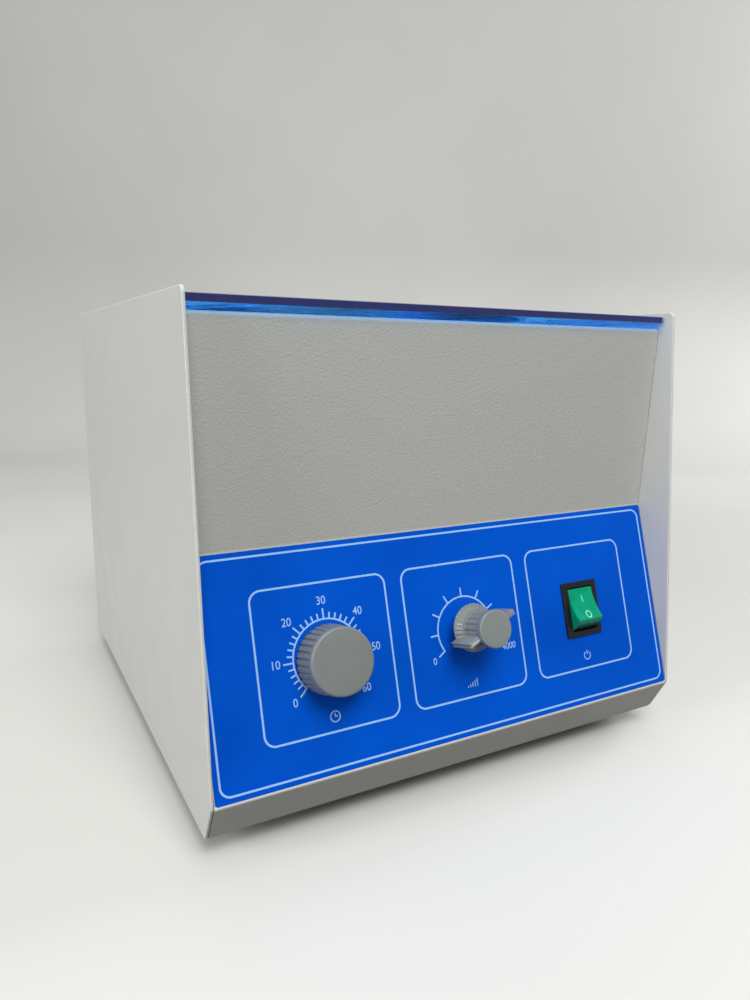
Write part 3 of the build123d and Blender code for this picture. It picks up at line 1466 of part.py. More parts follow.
with BuildPart() as speed_knob:
    with BuildSketch(Plane(origin=speed_plane.origin, x_dir=speed_plane.x_dir,
                           z_dir=-speed_plane.y_dir)):
        with BuildLine():
            Polyline((speed_shaft_radius + shaft_gap, speed_base),
                     (speed_skirt_radius, speed_base),
                     (speed_skirt_radius, speed_base + speed_skirt_rim),
                     (speed_skirt_top_radius, speed_base + speed_skirt_height),
                     (speed_barrel_radius, speed_base + speed_skirt_height),
                     (speed_barrel_radius, speed_cap_bottom), (speed_cap_radius, speed_cap_bottom),
                     (speed_cap_radius, speed_face), (0, speed_face),
                     (0, speed_shaft_end + shaft_gap),
                     (speed_shaft_radius + shaft_gap, speed_shaft_end + shaft_gap), close=True)
        make_face()
    revolve(axis=speed_axis)
    chamfer(speed_knob.edges().filter_by(GeomType.CIRCLE).sort_by(speed_axis)[-1], speed_edge)
    with BuildSketch(speed_plane.offset(speed_base + speed_skirt_height)):
        with PolarLocations(speed_barrel_radius + speed_flute_radius / 3, speed_barrel_flutes):
            Circle(speed_flute_radius)
    extrude(amount=speed_cap_bottom - speed_base - speed_skirt_height, mode=Mode.SUBTRACT)
    with BuildSketch(speed_plane.offset(speed_base + speed_bar_lift)):
        Rectangle(2 * speed_bar_half_length, speed_bar_thickness, rotation=speed_bar_rotation)
    extrude(amount=speed_knob_length - speed_bar_setback - speed_bar_lift)
    with BuildSketch(speed_plane.offset(speed_base)):
        Circle(speed_shaft_radius + shaft_gap)
    extrude(amount=shaft_in_knob + shaft_gap, mode=Mode.SUBTRACT)
    with BuildSketch(speed_plane.offset(speed_base)):
        with Locations((-speed_bar_half_length * cos(radians(speed_bar_rotation)),
                        -speed_bar_half_length * sin(radians(speed_bar_rotation)))):
            Rectangle(pointer_groove, pointer_groove, rotation=speed_bar_rotation)
    extrude(amount=speed_knob_length, mode=Mode.SUBTRACT)
speed_knob.part.label = "speed_knob"
export_step(speed_knob.part, "parts/speed_knob.step")

with BuildPart() as speed_shaft:
    with BuildSketch(speed_plane.offset(panel_inner - shaft_in_body / 2)):
        Circle(speed_shaft_radius)
    extrude(amount=speed_shaft_end - panel_inner + shaft_in_body / 2)
speed_shaft.part.label = "speed_shaft"
export_step(speed_shaft.part, "parts/speed_shaft.step")


# Rocker switch: housing with a bezel, the rocker on two trunnions, four blade terminals

switch_plane = Plane(origin=control_plane.from_local_coords((switch_x, switch_face_height,
                                                             label_thickness)),
                     x_dir=control_plane.x_dir, z_dir=control_plane.z_dir)
cavity_half_width = rocker_width / 2 + rocker_gap
cavity_half_length = rocker_radius + rocker_gap
cavity_depth = rocker_pivot_depth + rocker_swing_depth
rocker_plane = Plane(origin=switch_plane.offset(-rocker_pivot_depth).origin, x_dir=switch_plane.y_dir,
                     z_dir=switch_plane.x_dir)

with BuildPart() as switch_housing:
    with BuildSketch(switch_plane):
        RectangleRounded(bezel_width, bezel_length, bezel_corner)
    extrude(amount=bezel_thickness)
    chamfer(switch_housing.faces().sort_by(Axis(switch_plane.origin, switch_plane.z_dir))[-1].edges(),
            bezel_chamfer)
    with BuildSketch(switch_plane):
        Rectangle(switch_body_width, switch_body_length)
    extrude(amount=-switch_body_depth)
    with BuildSketch(switch_plane.offset(bezel_thickness)):
        Rectangle(2 * cavity_half_width, 2 * cavity_half_length)
    extrude(amount=-bezel_thickness - cavity_depth, mode=Mode.SUBTRACT)
    with BuildSketch(rocker_plane):
        Circle(trunnion_radius + trunnion_gap)
    extrude(amount=switch_body_width, both=True, mode=Mode.SUBTRACT)
switch_housing.part.label = "switch_housing"
export_step(switch_housing.part, "parts/switch_housing.step")

hollow_height = rocker_middle_height + rocker_pivot_depth
tip_reach = rocker_radius * sin(radians(rocker_tip_angle))
tip_height = rocker_radius * cos(radians(rocker_tip_angle))
rest_direction = (switch_plane.y_dir * cos(radians(rocker_rest_angle))
                  - switch_plane.z_dir * sin(radians(rocker_rest_angle)))
rocker_rest_plane = Plane(origin=rocker_plane.origin, x_dir=rest_direction, z_dir=switch_plane.x_dir)

with BuildPart() as rocker:
    with BuildSketch(rocker_rest_plane):
        Circle(rocker_radius)
        with BuildLine():
            ThreePointArc((-tip_reach, tip_height), (0, hollow_height), (tip_reach, tip_height))
            Polyline((tip_reach, tip_height), (2 * rocker_radius, tip_height),
                     (2 * rocker_radius, -rocker_bottom), (-2 * rocker_radius, -rocker_bottom),
                     (-2 * rocker_radius, tip_height), (-tip_reach, tip_height))
        make_face(mode=Mode.INTERSECT)
    extrude(amount=rocker_width / 2, both=True)
    with BuildSketch(rocker_plane):
        Circle(trunnion_radius)
    extrude(amount=rocker_width / 2 + trunnion_length, both=True)
    fillet(rocker.edges().filter_by(Axis(rocker_plane.origin, rocker_plane.z_dir)).group_by(
        Axis(switch_plane.origin, switch_plane.z_dir))[-1], rocker_edge_radius)
rocker.part.label = "rocker"
export_step(rocker.part, "parts/rocker.step")

with BuildPart() as switch_terminals:
    with BuildSketch(switch_plane.offset(-switch_body_depth)):
        with GridLocations(terminal_spacing, terminal_spacing, 2, 2):
            Rectangle(terminal_width, terminal_thickness)
    extrude(amount=-terminal_length)
switch_terminals.part.label = "switch_terminals"
export_step(switch_terminals.part, "parts/switch_terminals.step")


# Mains inlet with three pins, and the fuse holder beside it

inlet_plane = Plane(origin=rear_plane.from_local_coords((-inlet_x, inlet_height, 0)),
                    x_dir=rear_plane.x_dir, z_dir=rear_plane.z_dir)
inlet_face = inlet_plane.offset(inlet_flange_thickness)
pin_places = [(-inlet_pin_spacing / 2, -inlet_pin_rise / 2), (0, inlet_pin_rise / 2),
              (inlet_pin_spacing / 2, -inlet_pin_rise / 2)]
pin_length = inlet_body_depth + inlet_tab_length + inlet_flange_thickness - inlet_pin_recess

with BuildPart() as mains_inlet:
    with BuildSketch(inlet_plane):
        RectangleRounded(inlet_flange_width, inlet_flange_height, inlet_corner_cut)
        with GridLocations(inlet_screw_spacing, 0, 2, 1):
            Circle(m3_shank + screw_hole_gap, mode=Mode.SUBTRACT)
    extrude(amount=inlet_flange_thickness)
    with BuildSketch(inlet_plane):
        Rectangle(inlet_body_width, inlet_body_height)
    extrude(amount=-inlet_body_depth)
    with BuildSketch(inlet_face) as cavity:
        Rectangle(inlet_cavity_width, inlet_cavity_height)
        chamfer(cavity.vertices().group_by(Axis.Y)[-1], inlet_corner_cut)
    extrude(amount=-inlet_cavity_depth, mode=Mode.SUBTRACT)
    with BuildSketch(inlet_face):
        with Locations(*pin_places):
            Rectangle(inlet_pin_width, inlet_pin_height)
    extrude(amount=-inlet_body_depth - inlet_flange_thickness, mode=Mode.SUBTRACT)
mains_inlet.part.label = "mains_inlet"
export_step(mains_inlet.part, "parts/mains_inlet.step")

with BuildPart() as inlet_pins:
    with BuildSketch(inlet_face.offset(-inlet_pin_recess)):
        with Locations(*pin_places):
            Rectangle(inlet_pin_width, inlet_pin_height)
    extrude(amount=-pin_length)
inlet_pins.part.label = "inlet_pins"
export_step(inlet_pins.part, "parts/inlet_pins.step")

fuse_plane = Plane(origin=rear_plane.from_local_coords((-fuse_x, inlet_height, 0)),
                   x_dir=rear_plane.x_dir, z_dir=rear_plane.z_dir)
fuse_face = fuse_plane.offset(fuse_flange_thickness)

with BuildPart() as fuse_holder:
    with BuildSketch(fuse_plane):
        Circle(fuse_flange_radius)
    extrude(amount=fuse_flange_thickness)
    with BuildSketch(fuse_plane):
        Circle(fuse_body_radius)
    extrude(amount=-fuse_body_depth)
    with BuildSketch(fuse_face):
        Circle(fuse_bore_radius)
    extrude(amount=-fuse_body_depth, mode=Mode.SUBTRACT)
fuse_holder.part.label = "fuse_holder"
export_step(fuse_holder.part, "parts/fuse_holder.step")

with BuildPart() as fuse_cap:
    with BuildSketch(fuse_face):
        Circle(fuse_cap_radius)
        with PolarLocations(fuse_cap_radius, fuse_cap_grips):
            Circle(fuse_grip_radius, mode=Mode.SUBTRACT)
    extrude(amount=fuse_cap_length)
    with BuildSketch(fuse_face.offset(fuse_cap_length)):
        Rectangle(fuse_cap_radius, fuse_slot_width)
    extrude(amount=-fuse_slot_width, mode=Mode.SUBTRACT)
    with BuildSketch(fuse_face):
        Circle(fuse_bore_radius - seal_clearance)
    extrude(amount=-fuse_stem_length)
fuse_cap.part.label = "fuse_cap"
export_step(fuse_cap.part, "parts/fuse_cap.step")


# Speed control board on four spacers, with its components

board_middle = (board_x, fold_y + board_depth)
board_level = base_top + board_standoff
board_top = board_level + board_thickness
spacer_run_x = board_width - 2 * board_hole_inset
spacer_run_y = board_length - 2 * board_hole_inset

with BuildPart() as control_board:
    with BuildSketch(Plane.XY.offset(board_level)):
        with Locations(board_middle):
            RectangleRounded(board_width, board_length, label_corner)
            with GridLocations(spacer_run_x, spacer_run_y, 2, 2):
                Circle(m3_shank, mode=Mode.SUBTRACT)
    extrude(amount=board_thickness)
control_board.part.label = "control_board"
export_step(control_board.part, "parts/control_board.step")

with BuildPart() as board_spacers:
    with BuildSketch(Plane.XY.offset(base_top)):
        with Locations(board_middle):
            with GridLocations(spacer_run_x, spacer_run_y, 2, 2):
                Circle(board_spacer_radius)
    extrude(amount=board_standoff)
    with BuildSketch(Plane.XY.offset(board_level)):
        with Locations(board_middle):
            with GridLocations(spacer_run_x, spacer_run_y, 2, 2):
                Circle(m3_shank - seal_clearance)
    extrude(amount=board_thickness)
    with BuildSketch(Plane.XY.offset(board_top)):
        with Locations(board_middle):
            with GridLocations(spacer_run_x, spacer_run_y, 2, 2):
                Circle(board_spacer_radius - seal_clearance)
    extrude(amount=board_thickness)
board_spacers.part.label = "board_spacers"
export_step(board_spacers.part, "parts/board_spacers.step")

with BuildPart() as board_components:
    with BuildSketch(Plane.XY.offset(board_top)):
        with Locations((board_x, board_middle[1] + sink_offset)):
            Rectangle(sink_width, sink_length)
            with GridLocations(0, sink_length / sink_fins, 1, sink_fins):
                with Locations((sink_width / 2, 0)):
                    Rectangle(sink_width / 2, sink_length / sink_fins / 2, mode=Mode.SUBTRACT)
    extrude(amount=sink_height)
    with BuildSketch(Plane.XY.offset(board_top)):
        with Locations((board_x, board_middle[1] - capacitor_offset)):
            with GridLocations(capacitor_spacing, 0, 2, 1):
                Circle(capacitor_radius)
    extrude(amount=capacitor_height)
    with BuildSketch(Plane.XY.offset(board_top)):
        with Locations((board_x, board_middle[1] - terminal_block_offset)):
            Rectangle(terminal_block_length, terminal_block_width)
    extrude(amount=terminal_block_width)
board_components.part.label = "board_components"
export_step(board_components.part, "parts/board_components.step")


# Cabinet screws: base to angles and toe flange, rear panel to angles, hinge leaves, inlet, timer

base_screw_seats = [Plane(origin=(x, angle_middle + y, base_bottom), x_dir=(1, 0, 0), z_dir=(0, 0, -1))
                    for x in (-angle_x, angle_x) for y in (-angle_screw_run, 0, angle_screw_run)]
toe_screw_seats = [Plane(origin=(x, toe_screw_y, base_level), x_dir=(1, 0, 0), z_dir=(0, 0, -1))
                   for x in (-toe_screw_spacing, 0, toe_screw_spacing)]
rear_screw_seats = [Plane(origin=(x, rear_outer, level(rear_screw_middle + z)), x_dir=(1, 0, 0),
                          z_dir=(0, 1, 0))
                    for x in (-angle_x, angle_x) for z in (-rear_screw_run, 0, rear_screw_run)]
inlet_screw_seats = [Plane(origin=(inlet_x + x, rear_outer + inlet_flange_thickness, level(inlet_height)),
                           x_dir=(1, 0, 0), z_dir=(0, 1, 0))
                     for x in (-inlet_screw_spacing / 2, inlet_screw_spacing / 2)]
leaf_screw_xs = [middle + side * hinge_screw_spacing / 2 for middle in hinge_middles for side in (-1, 1)]
leaf_screw_seats = [Plane(origin=(x, rear_outer + hinge_leaf, level(hinge_screw_height)),
                          x_dir=(1, 0, 0), z_dir=(0, 1, 0)) for x in leaf_screw_xs]
timer_screw_seats = [Plane(origin=timer_plane.from_local_coords((x, 0, 0)), x_dir=timer_plane.x_dir,
                           z_dir=timer_plane.z_dir)
                     for x in (-timer_screw_spacing / 2, timer_screw_spacing / 2)]
sheet_screws = screws(base_screw_seats + toe_screw_seats + rear_screw_seats + inlet_screw_seats
                      + leaf_screw_seats + timer_screw_seats,
                      m3_shank, m3_head, m3_head_height, sheet_screw_length)

with BuildPart() as cabinet_screws:
    add(sheet_screws.part)
    add(foot_screws.part)
cabinet_screws.part.label = "cabinet_screws"
export_step(cabinet_screws.part, "parts/cabinet_screws.step")


# Cabinet nuts: on the feet's screws, hinge leaf screws, potentiometer and fuse holder

foot_nut_seats = [Plane(origin=(x, y, base_top), x_dir=(1, 0, 0), z_dir=(0, 0, 1))
                  for x, y in foot_places]
leaf_nut_seats = [Plane(origin=(x, rear_inner, level(hinge_screw_height)), x_dir=(1, 0, 0),
                        z_dir=(0, -1, 0)) for x in leaf_screw_xs]
foot_nuts = nuts(foot_nut_seats, m4_shank, m4_nut, m4_nut_height)
leaf_nuts = nuts(leaf_nut_seats, m3_shank, m3_nut, m3_nut_height)
speed_nut = nuts([speed_plane.offset(label_thickness)], speed_bush_radius, speed_nut_radius,
                 speed_nut_height)
fuse_nut_seat = Plane(origin=fuse_plane.offset(-sheet_thickness).origin, x_dir=fuse_plane.x_dir,
                      z_dir=-fuse_plane.z_dir)
fuse_nut = nuts([fuse_nut_seat], fuse_body_radius, fuse_nut_radius, fuse_nut_height)

with BuildPart() as cabinet_nuts:
    add(foot_nuts.part)
    add(leaf_nuts.part)
    add(speed_nut.part)
    add(fuse_nut.part)
cabinet_nuts.part.label = "cabinet_nuts"
export_step(cabinet_nuts.part, "parts/cabinet_nuts.step")


# Wiring inside the cabinet: insulated leads swept along bent runs

switch_back = switch_plane.offset(-switch_body_depth - terminal_length - wire_radius)
speed_back = speed_plane.offset(panel_inner - speed_body_depth - wire_radius)
inlet_back = inlet_plane.offset(-inlet_body_depth - inlet_tab_length - wire_radius)
wire_side = foot_spread / 2
low_run = level(fold_height)
board_front = fold_y + board_depth - board_length / 2
board_rear = fold_y + board_depth + board_length / 2
front_run = fold_y + wire_front_depth
brush_wire_start = holder_end + brush_cap_height + wire_radius


def lead(*points):
    """One lead with rounded bends."""
    with BuildPart() as run:
        with BuildLine() as path:
            FilletPolyline(*points, radius=wire_bend)
        with BuildSketch(Plane(origin=path.line @ 0, z_dir=path.line % 0)):
            Circle(wire_radius)
        sweep()
    return run


switch_x_left = switch_x - terminal_spacing / 2
switch_x_right = switch_x + terminal_spacing / 2
lead_runs = [
    lead((inlet_x, inlet_back.origin.Y, inlet_back.origin.Z),
         (inlet_x, inlet_back.origin.Y - 2 * wire_bend, inlet_back.origin.Z),
         (wire_side, inlet_back.origin.Y - 4 * wire_bend, low_run),
         (wire_side, front_run + 3 * wire_bend, low_run),
         (switch_x_right, front_run, low_run + wire_bend),
         (switch_x_right, switch_back.origin.Y, switch_back.origin.Z)),
    lead((switch_x_left, switch_back.origin.Y, switch_back.origin.Z),
         (switch_x_left, front_run, low_run + wire_bend),
         (0, front_run, low_run),
         (board_x + wire_bend, front_run, low_run),
         (board_x + wire_bend, board_front - wire_radius, board_top + 2 * wire_radius)),
    lead((speed_x, speed_back.origin.Y, speed_back.origin.Z),
         (speed_x, front_run - wire_bend, speed_back.origin.Z - wire_bend),
         (board_x, front_run + wire_bend, low_run + wire_bend),
         (board_x, board_front - wire_radius, board_top + 2 * wire_radius)),
    lead((board_x, board_rear + wire_radius, board_top + 2 * wire_radius),
         (board_x, board_rear + 2 * wire_bend, board_top + wire_bend),
         (board_x + wire_bend, board_rear, level(brush_level)),
         (-brush_wire_start - 2 * wire_bend, rotor_y, level(brush_level)),
         (-brush_wire_start, rotor_y, level(brush_level))),
]

with BuildPart() as wiring:
    for run in lead_runs:
        add(run.part)
wiring.part.label = "wiring"
export_step(wiring.part, "parts/wiring.step")
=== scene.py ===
import json
from math import cos, pi, radians, sin, tau

import bmesh
import bpy
from mathutils import Matrix, Vector
from mathutils.bvhtree import BVHTree


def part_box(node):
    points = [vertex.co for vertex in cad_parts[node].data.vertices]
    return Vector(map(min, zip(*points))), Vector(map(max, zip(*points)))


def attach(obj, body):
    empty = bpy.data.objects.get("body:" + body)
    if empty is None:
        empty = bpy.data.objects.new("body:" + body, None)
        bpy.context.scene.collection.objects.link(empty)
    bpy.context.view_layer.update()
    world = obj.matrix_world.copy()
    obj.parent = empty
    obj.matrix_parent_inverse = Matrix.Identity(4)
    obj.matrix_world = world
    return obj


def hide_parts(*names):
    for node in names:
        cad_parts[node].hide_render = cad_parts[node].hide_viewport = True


# Looks of the benchtop centrifuge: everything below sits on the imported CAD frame, in metres.
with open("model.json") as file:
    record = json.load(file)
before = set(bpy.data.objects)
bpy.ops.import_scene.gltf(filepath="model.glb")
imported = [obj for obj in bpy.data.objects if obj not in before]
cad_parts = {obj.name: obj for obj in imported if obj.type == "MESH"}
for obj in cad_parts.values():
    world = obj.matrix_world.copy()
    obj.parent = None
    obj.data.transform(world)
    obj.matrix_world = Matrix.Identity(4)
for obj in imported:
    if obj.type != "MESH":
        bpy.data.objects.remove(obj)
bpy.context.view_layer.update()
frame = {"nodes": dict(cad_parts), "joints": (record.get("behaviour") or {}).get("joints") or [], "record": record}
nodes = frame["nodes"]
record = frame["record"]
joints = {joint["name"]: joint for joint in frame["joints"]}
mm = 0.001

# Camera, worked out from the photograph's own corners
camera_place = Vector((-0.2201, -0.43795, 0.2263))
camera_heading = 28.887
camera_pitch = -11.036
camera_roll = 0.77
camera_lens = 26.556

# Directions on the sloping control panel
panel_right = Vector((1, 0, 0))
panel_out = -Vector(joints["timer_turn"]["axis"]).normalized()
panel_up = panel_out.cross(panel_right)

# Print on the control label
number_height = 5.6 * mm
speed_number_height = 5.0 * mm
number_width = 0.9
number_weight = 0.03 * mm
print_lift = 0.05 * mm
print_depth = 0.1 * mm
timer_number_radius = 26.3 * mm
timer_number_shift = (-0.4 * mm, 0.3 * mm)
timer_scale_half = 135.0
timer_last_minute = 60
timer_number_every = 10
timer_dial_x = -79.4 * mm
speed_dial_x = 0.3 * mm
speed_zero_place = (-20.7 * mm, -13.4 * mm)
speed_full_place = (27.0 * mm, -13.4 * mm)
symbol_drop = 28.2 * mm
symbol_line = 0.55 * mm

# Painted highlights on two folds of the front panel: a pale line under the label, and a cyan line at the top under
# the lid, partly real blue light through the lid and partly painted
label_fold_highlight_height = 1.8 * mm
label_fold_highlight_softness = 0.5 * mm
top_fold_highlight_height = 1.3 * mm
top_fold_highlight_softness = 1.0 * mm
top_fold_highlight_depth = 2.6 * mm

# Fineness of the knobs' turned shapes
flute_steps = 14
rib_steps = 12
rounded_steps = 5

# Timer knob
timer_flutes = 32
timer_flute_depth = 0.95 * mm
timer_flute_share = 0.4
timer_rim = 2.6 * mm
timer_edge = 1.2 * mm
timer_face_radius = 15.9 * mm
timer_hollow = 5.0 * mm
timer_wall = 2.4 * mm
timer_foot = 0.4 * mm
timer_side_rings = 6
# Above their end the flutes fade out: (height above it, share of the depth that is left)
timer_flute_fade = ((0.15 * mm, 0.6), (0.4 * mm, 0.0))

# Speed knob
skirt_radius = 12.5 * mm
skirt_rim = 1.2 * mm
skirt_height = 4.4 * mm
skirt_top_radius = 9.9 * mm
skirt_shoulder = 0.35 * mm
skirt_rings = 6
skirt_ribs = 30
rib_depth = 0.5 * mm
rib_groove_share = 0.5
barrel_radius = 8.7 * mm
barrel_start_share = 0.8
barrel_rings = 5
barrel_flutes = 18
barrel_flute_depth = 0.6 * mm
barrel_flute_share = 0.5
cap_radius = 9.5 * mm
cap_height = 3.4 * mm
cap_edge = 0.7 * mm
cap_steps = 96
speed_round = 0.3 * mm
bar_half_length = 16.0 * mm
bar_thickness = 2.9 * mm
bar_setback = 3.0 * mm
bar_lift = 0.4 * mm
bar_rotation = 24.0
bar_round = 0.2 * mm
groove_width = 0.9 * mm
groove_depth = 0.9 * mm
pointer_line = 0.7 * mm

# Marks on the rocker and on the rotor
rocker_bar_length = 3.6 * mm
rocker_ring_radius = 1.7 * mm
rocker_mark_line = 0.6 * mm
rocker_bar_rise = 5.6 * mm
rocker_ring_drop = 3.2 * mm
rotor_number_height = 4.4 * mm
rotor_number_inset = 17.0 * mm
bore_half_length = 37.5 * mm
drop_height = 50.0 * mm


# Mesh helpers

def srgb(red, green, blue):
    """A colour written as 0 to 255 screen values, as linear light."""
    def linear(value):
        share = value / 255
        return share / 12.92 if share <= 0.04045 else ((share + 0.055) / 1.055) ** 2.4
    return (linear(red), linear(green), linear(blue), 1.0)


def reach(name, direction):
    """How far a CAD node reaches along a direction from the origin."""
    return max(vertex.co.dot(direction) for vertex in nodes[name].data.vertices)


def middle(name):
    """The middle of a CAD node, measured along the panel's own directions."""
    place = Vector((0, 0, 0))
    for direction in (panel_right, panel_up, panel_out):
        place += direction * (reach(name, direction) - reach(name, -direction)) / 2
    return place


def panel_frame(place, out):
    """Local axes right, up and out of the panel, at a place moved to a level above the origin."""
    origin = place + panel_out * (out - place.dot(panel_out))
    axes = Matrix((panel_right, panel_up, panel_out)).transposed().to_4x4()
    return Matrix.Translation(origin) @ axes


def finish_mesh(name, mesh, frame_matrix, smooth_angle=35.0):
    """A new object from a mesh set in its place, smooth except at its sharp edges."""
    bmesh.ops.recalc_face_normals(mesh, faces=mesh.faces)
    data = bpy.data.meshes.new(name)
    mesh.to_mesh(data)
    mesh.free()
    data.transform(frame_matrix)
    data.shade_smooth()
    data.set_sharp_from_angle(angle=radians(smooth_angle))
    made = bpy.data.objects.new(name, data)
    bpy.context.scene.collection.objects.link(made)
    return made


def place_piece(piece, body, slot, material, *replaced):
    """Gives a piece its finish and the body that it moves with."""
    piece.data.materials.clear()
    piece.data.materials.append(material)
    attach(piece, body)
    if replaced:
        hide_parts(*replaced)


def groove_profile(turn, grooves, groove_share):
    """How deep the grooves of a turned side are at a turn: 1 in their middle, 0 on the ribs."""
    if not grooves:
        return 0.0
    away = abs((grooves * turn / tau + 0.5) % 1 - 0.5) * 2 / groove_share
    return 1 - away ** 3 if away < 1 else 0.0


def turned(mesh, profile, steps, grooves=0, groove_share=1.0, depth=0.0):
    """Adds a turned shell. A profile point is (radius, height, share of the groove depth)."""
    rings = []
    for radius, height, share in profile:
        ring = []
        for step in range(steps):
            turn = tau * step / steps
            reach_out = radius - depth * share * groove_profile(turn, grooves, groove_share)
            ring.append(mesh.verts.new((reach_out * cos(turn), reach_out * sin(turn), height)))
        rings.append(ring)
    for lower, upper in zip(rings, rings[1:]):
        for step in range(steps):
            after = (step + 1) % steps
            mesh.faces.new((lower[step], lower[after], upper[after], upper[step]))
    mesh.faces.new(list(reversed(rings[0])))
    mesh.faces.new(rings[-1])


def rounded_end(radius, height, edge):
    """Profile points of a rounded front edge, from the side wall to the face."""
    points = []
    for step in range(rounded_steps + 1):
        turn = pi / 2 * step / rounded_steps
        points.append((radius - edge + edge * cos(turn), height - edge + edge * sin(turn), 0.0))
    return points


def ribbon(mesh, points, width, closed=False):
    """Adds a flat strip of constant width along a line of (x, y) points."""
    count = len(points)
    sides = []
    for index, point in enumerate(points):
        before = points[(index - 1) % count] if closed or index > 0 else point
        after = points[(index + 1) % count] if closed or index < count - 1 else point
        along = (Vector(after) - Vector(before)).normalized()
        across = Vector((-along.y, along.x)) * width / 2
        left = mesh.verts.new((*(Vector(point) + across), 0))
        right = mesh.verts.new((*(Vector(point) - across), 0))
        sides.append((left, right))
    pairs = list(zip(sides, sides[1:]))
    if closed:
        pairs.append((sides[-1], sides[0]))
    for (left, right), (next_left, next_right) in pairs:
        mesh.faces.new((left, right, next_right, next_left))


def arc_points(radius, start, end, steps, centre=(0.0, 0.0)):
    """Points along an arc in the local plane, its angles in degrees."""
    turns = [radians(start + (end - start) * step / steps) for step in range(steps + 1)]
    return [(centre[0] + radius * cos(turn), centre[1] + radius * sin(turn)) for turn in turns]


def thicken(mesh, depth):
    """Gives flat print its thin body."""
    bmesh.ops.recalc_face_normals(mesh, faces=mesh.faces)
    made = bmesh.ops.extrude_face_region(mesh, geom=mesh.faces[:])
    moved = [item for item in made["geom"] if isinstance(item, bmesh.types.BMVert)]
    bmesh.ops.translate(mesh, verts=moved, vec=(0, 0, depth))


def lettering(mesh, words, size, place):
    """Adds centred lettering to a mesh, lying in its local plane."""
    text = bpy.data.curves.new("words", "FONT")
    text.body = words
    text.size = size
    text.align_x = "CENTER"
    text.align_y = "CENTER"
    text.resolution_u = 5
    text.offset = number_weight
    holder = bpy.data.objects.new("words", text)
    bpy.context.scene.collection.objects.link(holder)
    bpy.context.view_layer.update()
    evaluated = holder.evaluated_get(bpy.context.evaluated_depsgraph_get())
    drawn = bpy.data.meshes.new_from_object(evaluated)
    stretch = Matrix.Diagonal((number_width, 1, 1, 1))
    drawn.transform(Matrix.Translation((*place, 0)) @ stretch)
    mesh.from_mesh(drawn)
    bpy.data.objects.remove(holder)
    bpy.data.curves.remove(text)
    bpy.data.meshes.remove(drawn)


# Materials

class Finish:
    """One material: a Principled shader with textures in the object's own space."""

    def __init__(self, name, metallic=0.0, sockets=None):
        self.material = bpy.data.materials.new(name)
        self.material.use_nodes = True
        self.tree = self.material.node_tree
        self.shader = self.tree.nodes["Principled BSDF"]
        self.shader.inputs["Metallic"].default_value = metallic
        for socket, value in (sockets or {}).items():
            self.shader.inputs[socket].default_value = value
        self.place = self.node("TexCoord").outputs["Object"]

    def node(self, kind, inputs=None, **settings):
        made = self.tree.nodes.new("ShaderNode" + kind)
        for setting, value in settings.items():
            setattr(made, setting, value)
        for socket, value in (inputs or {}).items():
            self.feed(made.inputs[socket], value)
        return made

    def feed(self, socket, value):
        if isinstance(value, bpy.types.NodeSocket):
            self.tree.links.new(value, socket)
        else:
            socket.default_value = value

    def noise(self, size, detail=3.0, space=None):
        """Cloudy values around a half, their grain size in metres."""
        return self.node("TexNoise", {"Vector": space or self.place, "Scale": 1 / size,
                                      "Detail": detail}).outputs[0]

    def cells(self, size, feature="SMOOTH_F1"):
        """Rounded cells, their size in metres."""
        return self.node("TexVoronoi", {"Vector": self.place, "Scale": 1 / size},
                         feature=feature).outputs["Distance"]

    def span(self, value, low, high, to_low=0.0, to_high=1.0):
        """A value carried smoothly from one range to another."""
        return self.node("MapRange", {"Value": value, "From Min": low, "From Max": high,
                                      "To Min": to_low, "To Max": to_high},
                         interpolation_type="SMOOTHSTEP").outputs["Result"]

    def sum(self, first, second, operation="ADD"):
        """Two values put together by a sum, or by another operation."""
        return self.node("Math", {0: first, 1: second}, operation=operation).outputs[0]

    def tint(self, share, first, second):
        """A colour between two others."""
        mixed = self.node("Mix", data_type="RGBA")
        self.feed(mixed.inputs[0], share)
        self.feed(mixed.inputs[6], first)
        self.feed(mixed.inputs[7], second)
        return mixed.outputs[2]

    def stretched(self, x, y, z):
        """The texture space with its axes scaled, for brushed grain."""
        return self.node("Mapping", {"Vector": self.place, "Scale": (x, y, z)}).outputs["Vector"]

    def around(self, centre):
        """A space of radius and height round an upright axis, for turned metal."""
        moved = self.node("VectorMath", {0: self.place, 1: centre}, operation="SUBTRACT").outputs[0]
        parts = self.node("SeparateXYZ", {0: moved}).outputs
        flat = self.node("CombineXYZ", {0: parts[0], 1: parts[1]}).outputs[0]
        radius = self.node("VectorMath", {0: flat}, operation="LENGTH").outputs["Value"]
        return self.node("CombineXYZ", {0: radius, 1: parts[2]}).outputs[0]

    def soft_normal(self, radius):
        """The surface's normal with its sharp edges rounded off."""
        return self.node("Bevel", {"Radius": radius}, samples=4).outputs["Normal"]

    def edges(self, radius):
        """Near 1 along sharp edges and 0 elsewhere."""
        true = self.node("NewGeometry").outputs["Normal"]
        likeness = self.node("VectorMath", {0: self.soft_normal(radius), 1: true},
                             operation="DOT_PRODUCT").outputs["Value"]
        return self.span(likeness, 0.99, 0.86)

    def relief(self, height, depth, normal=None):
        """A bump of the given depth in metres, over a normal."""
        inputs = {"Height": height, "Distance": depth, "Strength": 1.0}
        if normal is not None:
            inputs["Normal"] = normal
        return self.node("Bump", inputs).outputs["Normal"]

    def done(self, colour, roughness, normal=None):
        """Joins up the shader's main inputs and hands over the material."""
        self.feed(self.shader.inputs["Base Color"], colour)
        self.feed(self.shader.inputs["Roughness"], roughness)
        if normal is not None:
            self.feed(self.shader.inputs["Normal"], normal)
        return self.material


def darker(colour, share):
    """A colour with its light scaled: darker below 1, paler above."""
    return (colour[0] * share, colour[1] * share, colour[2] * share, 1.0)


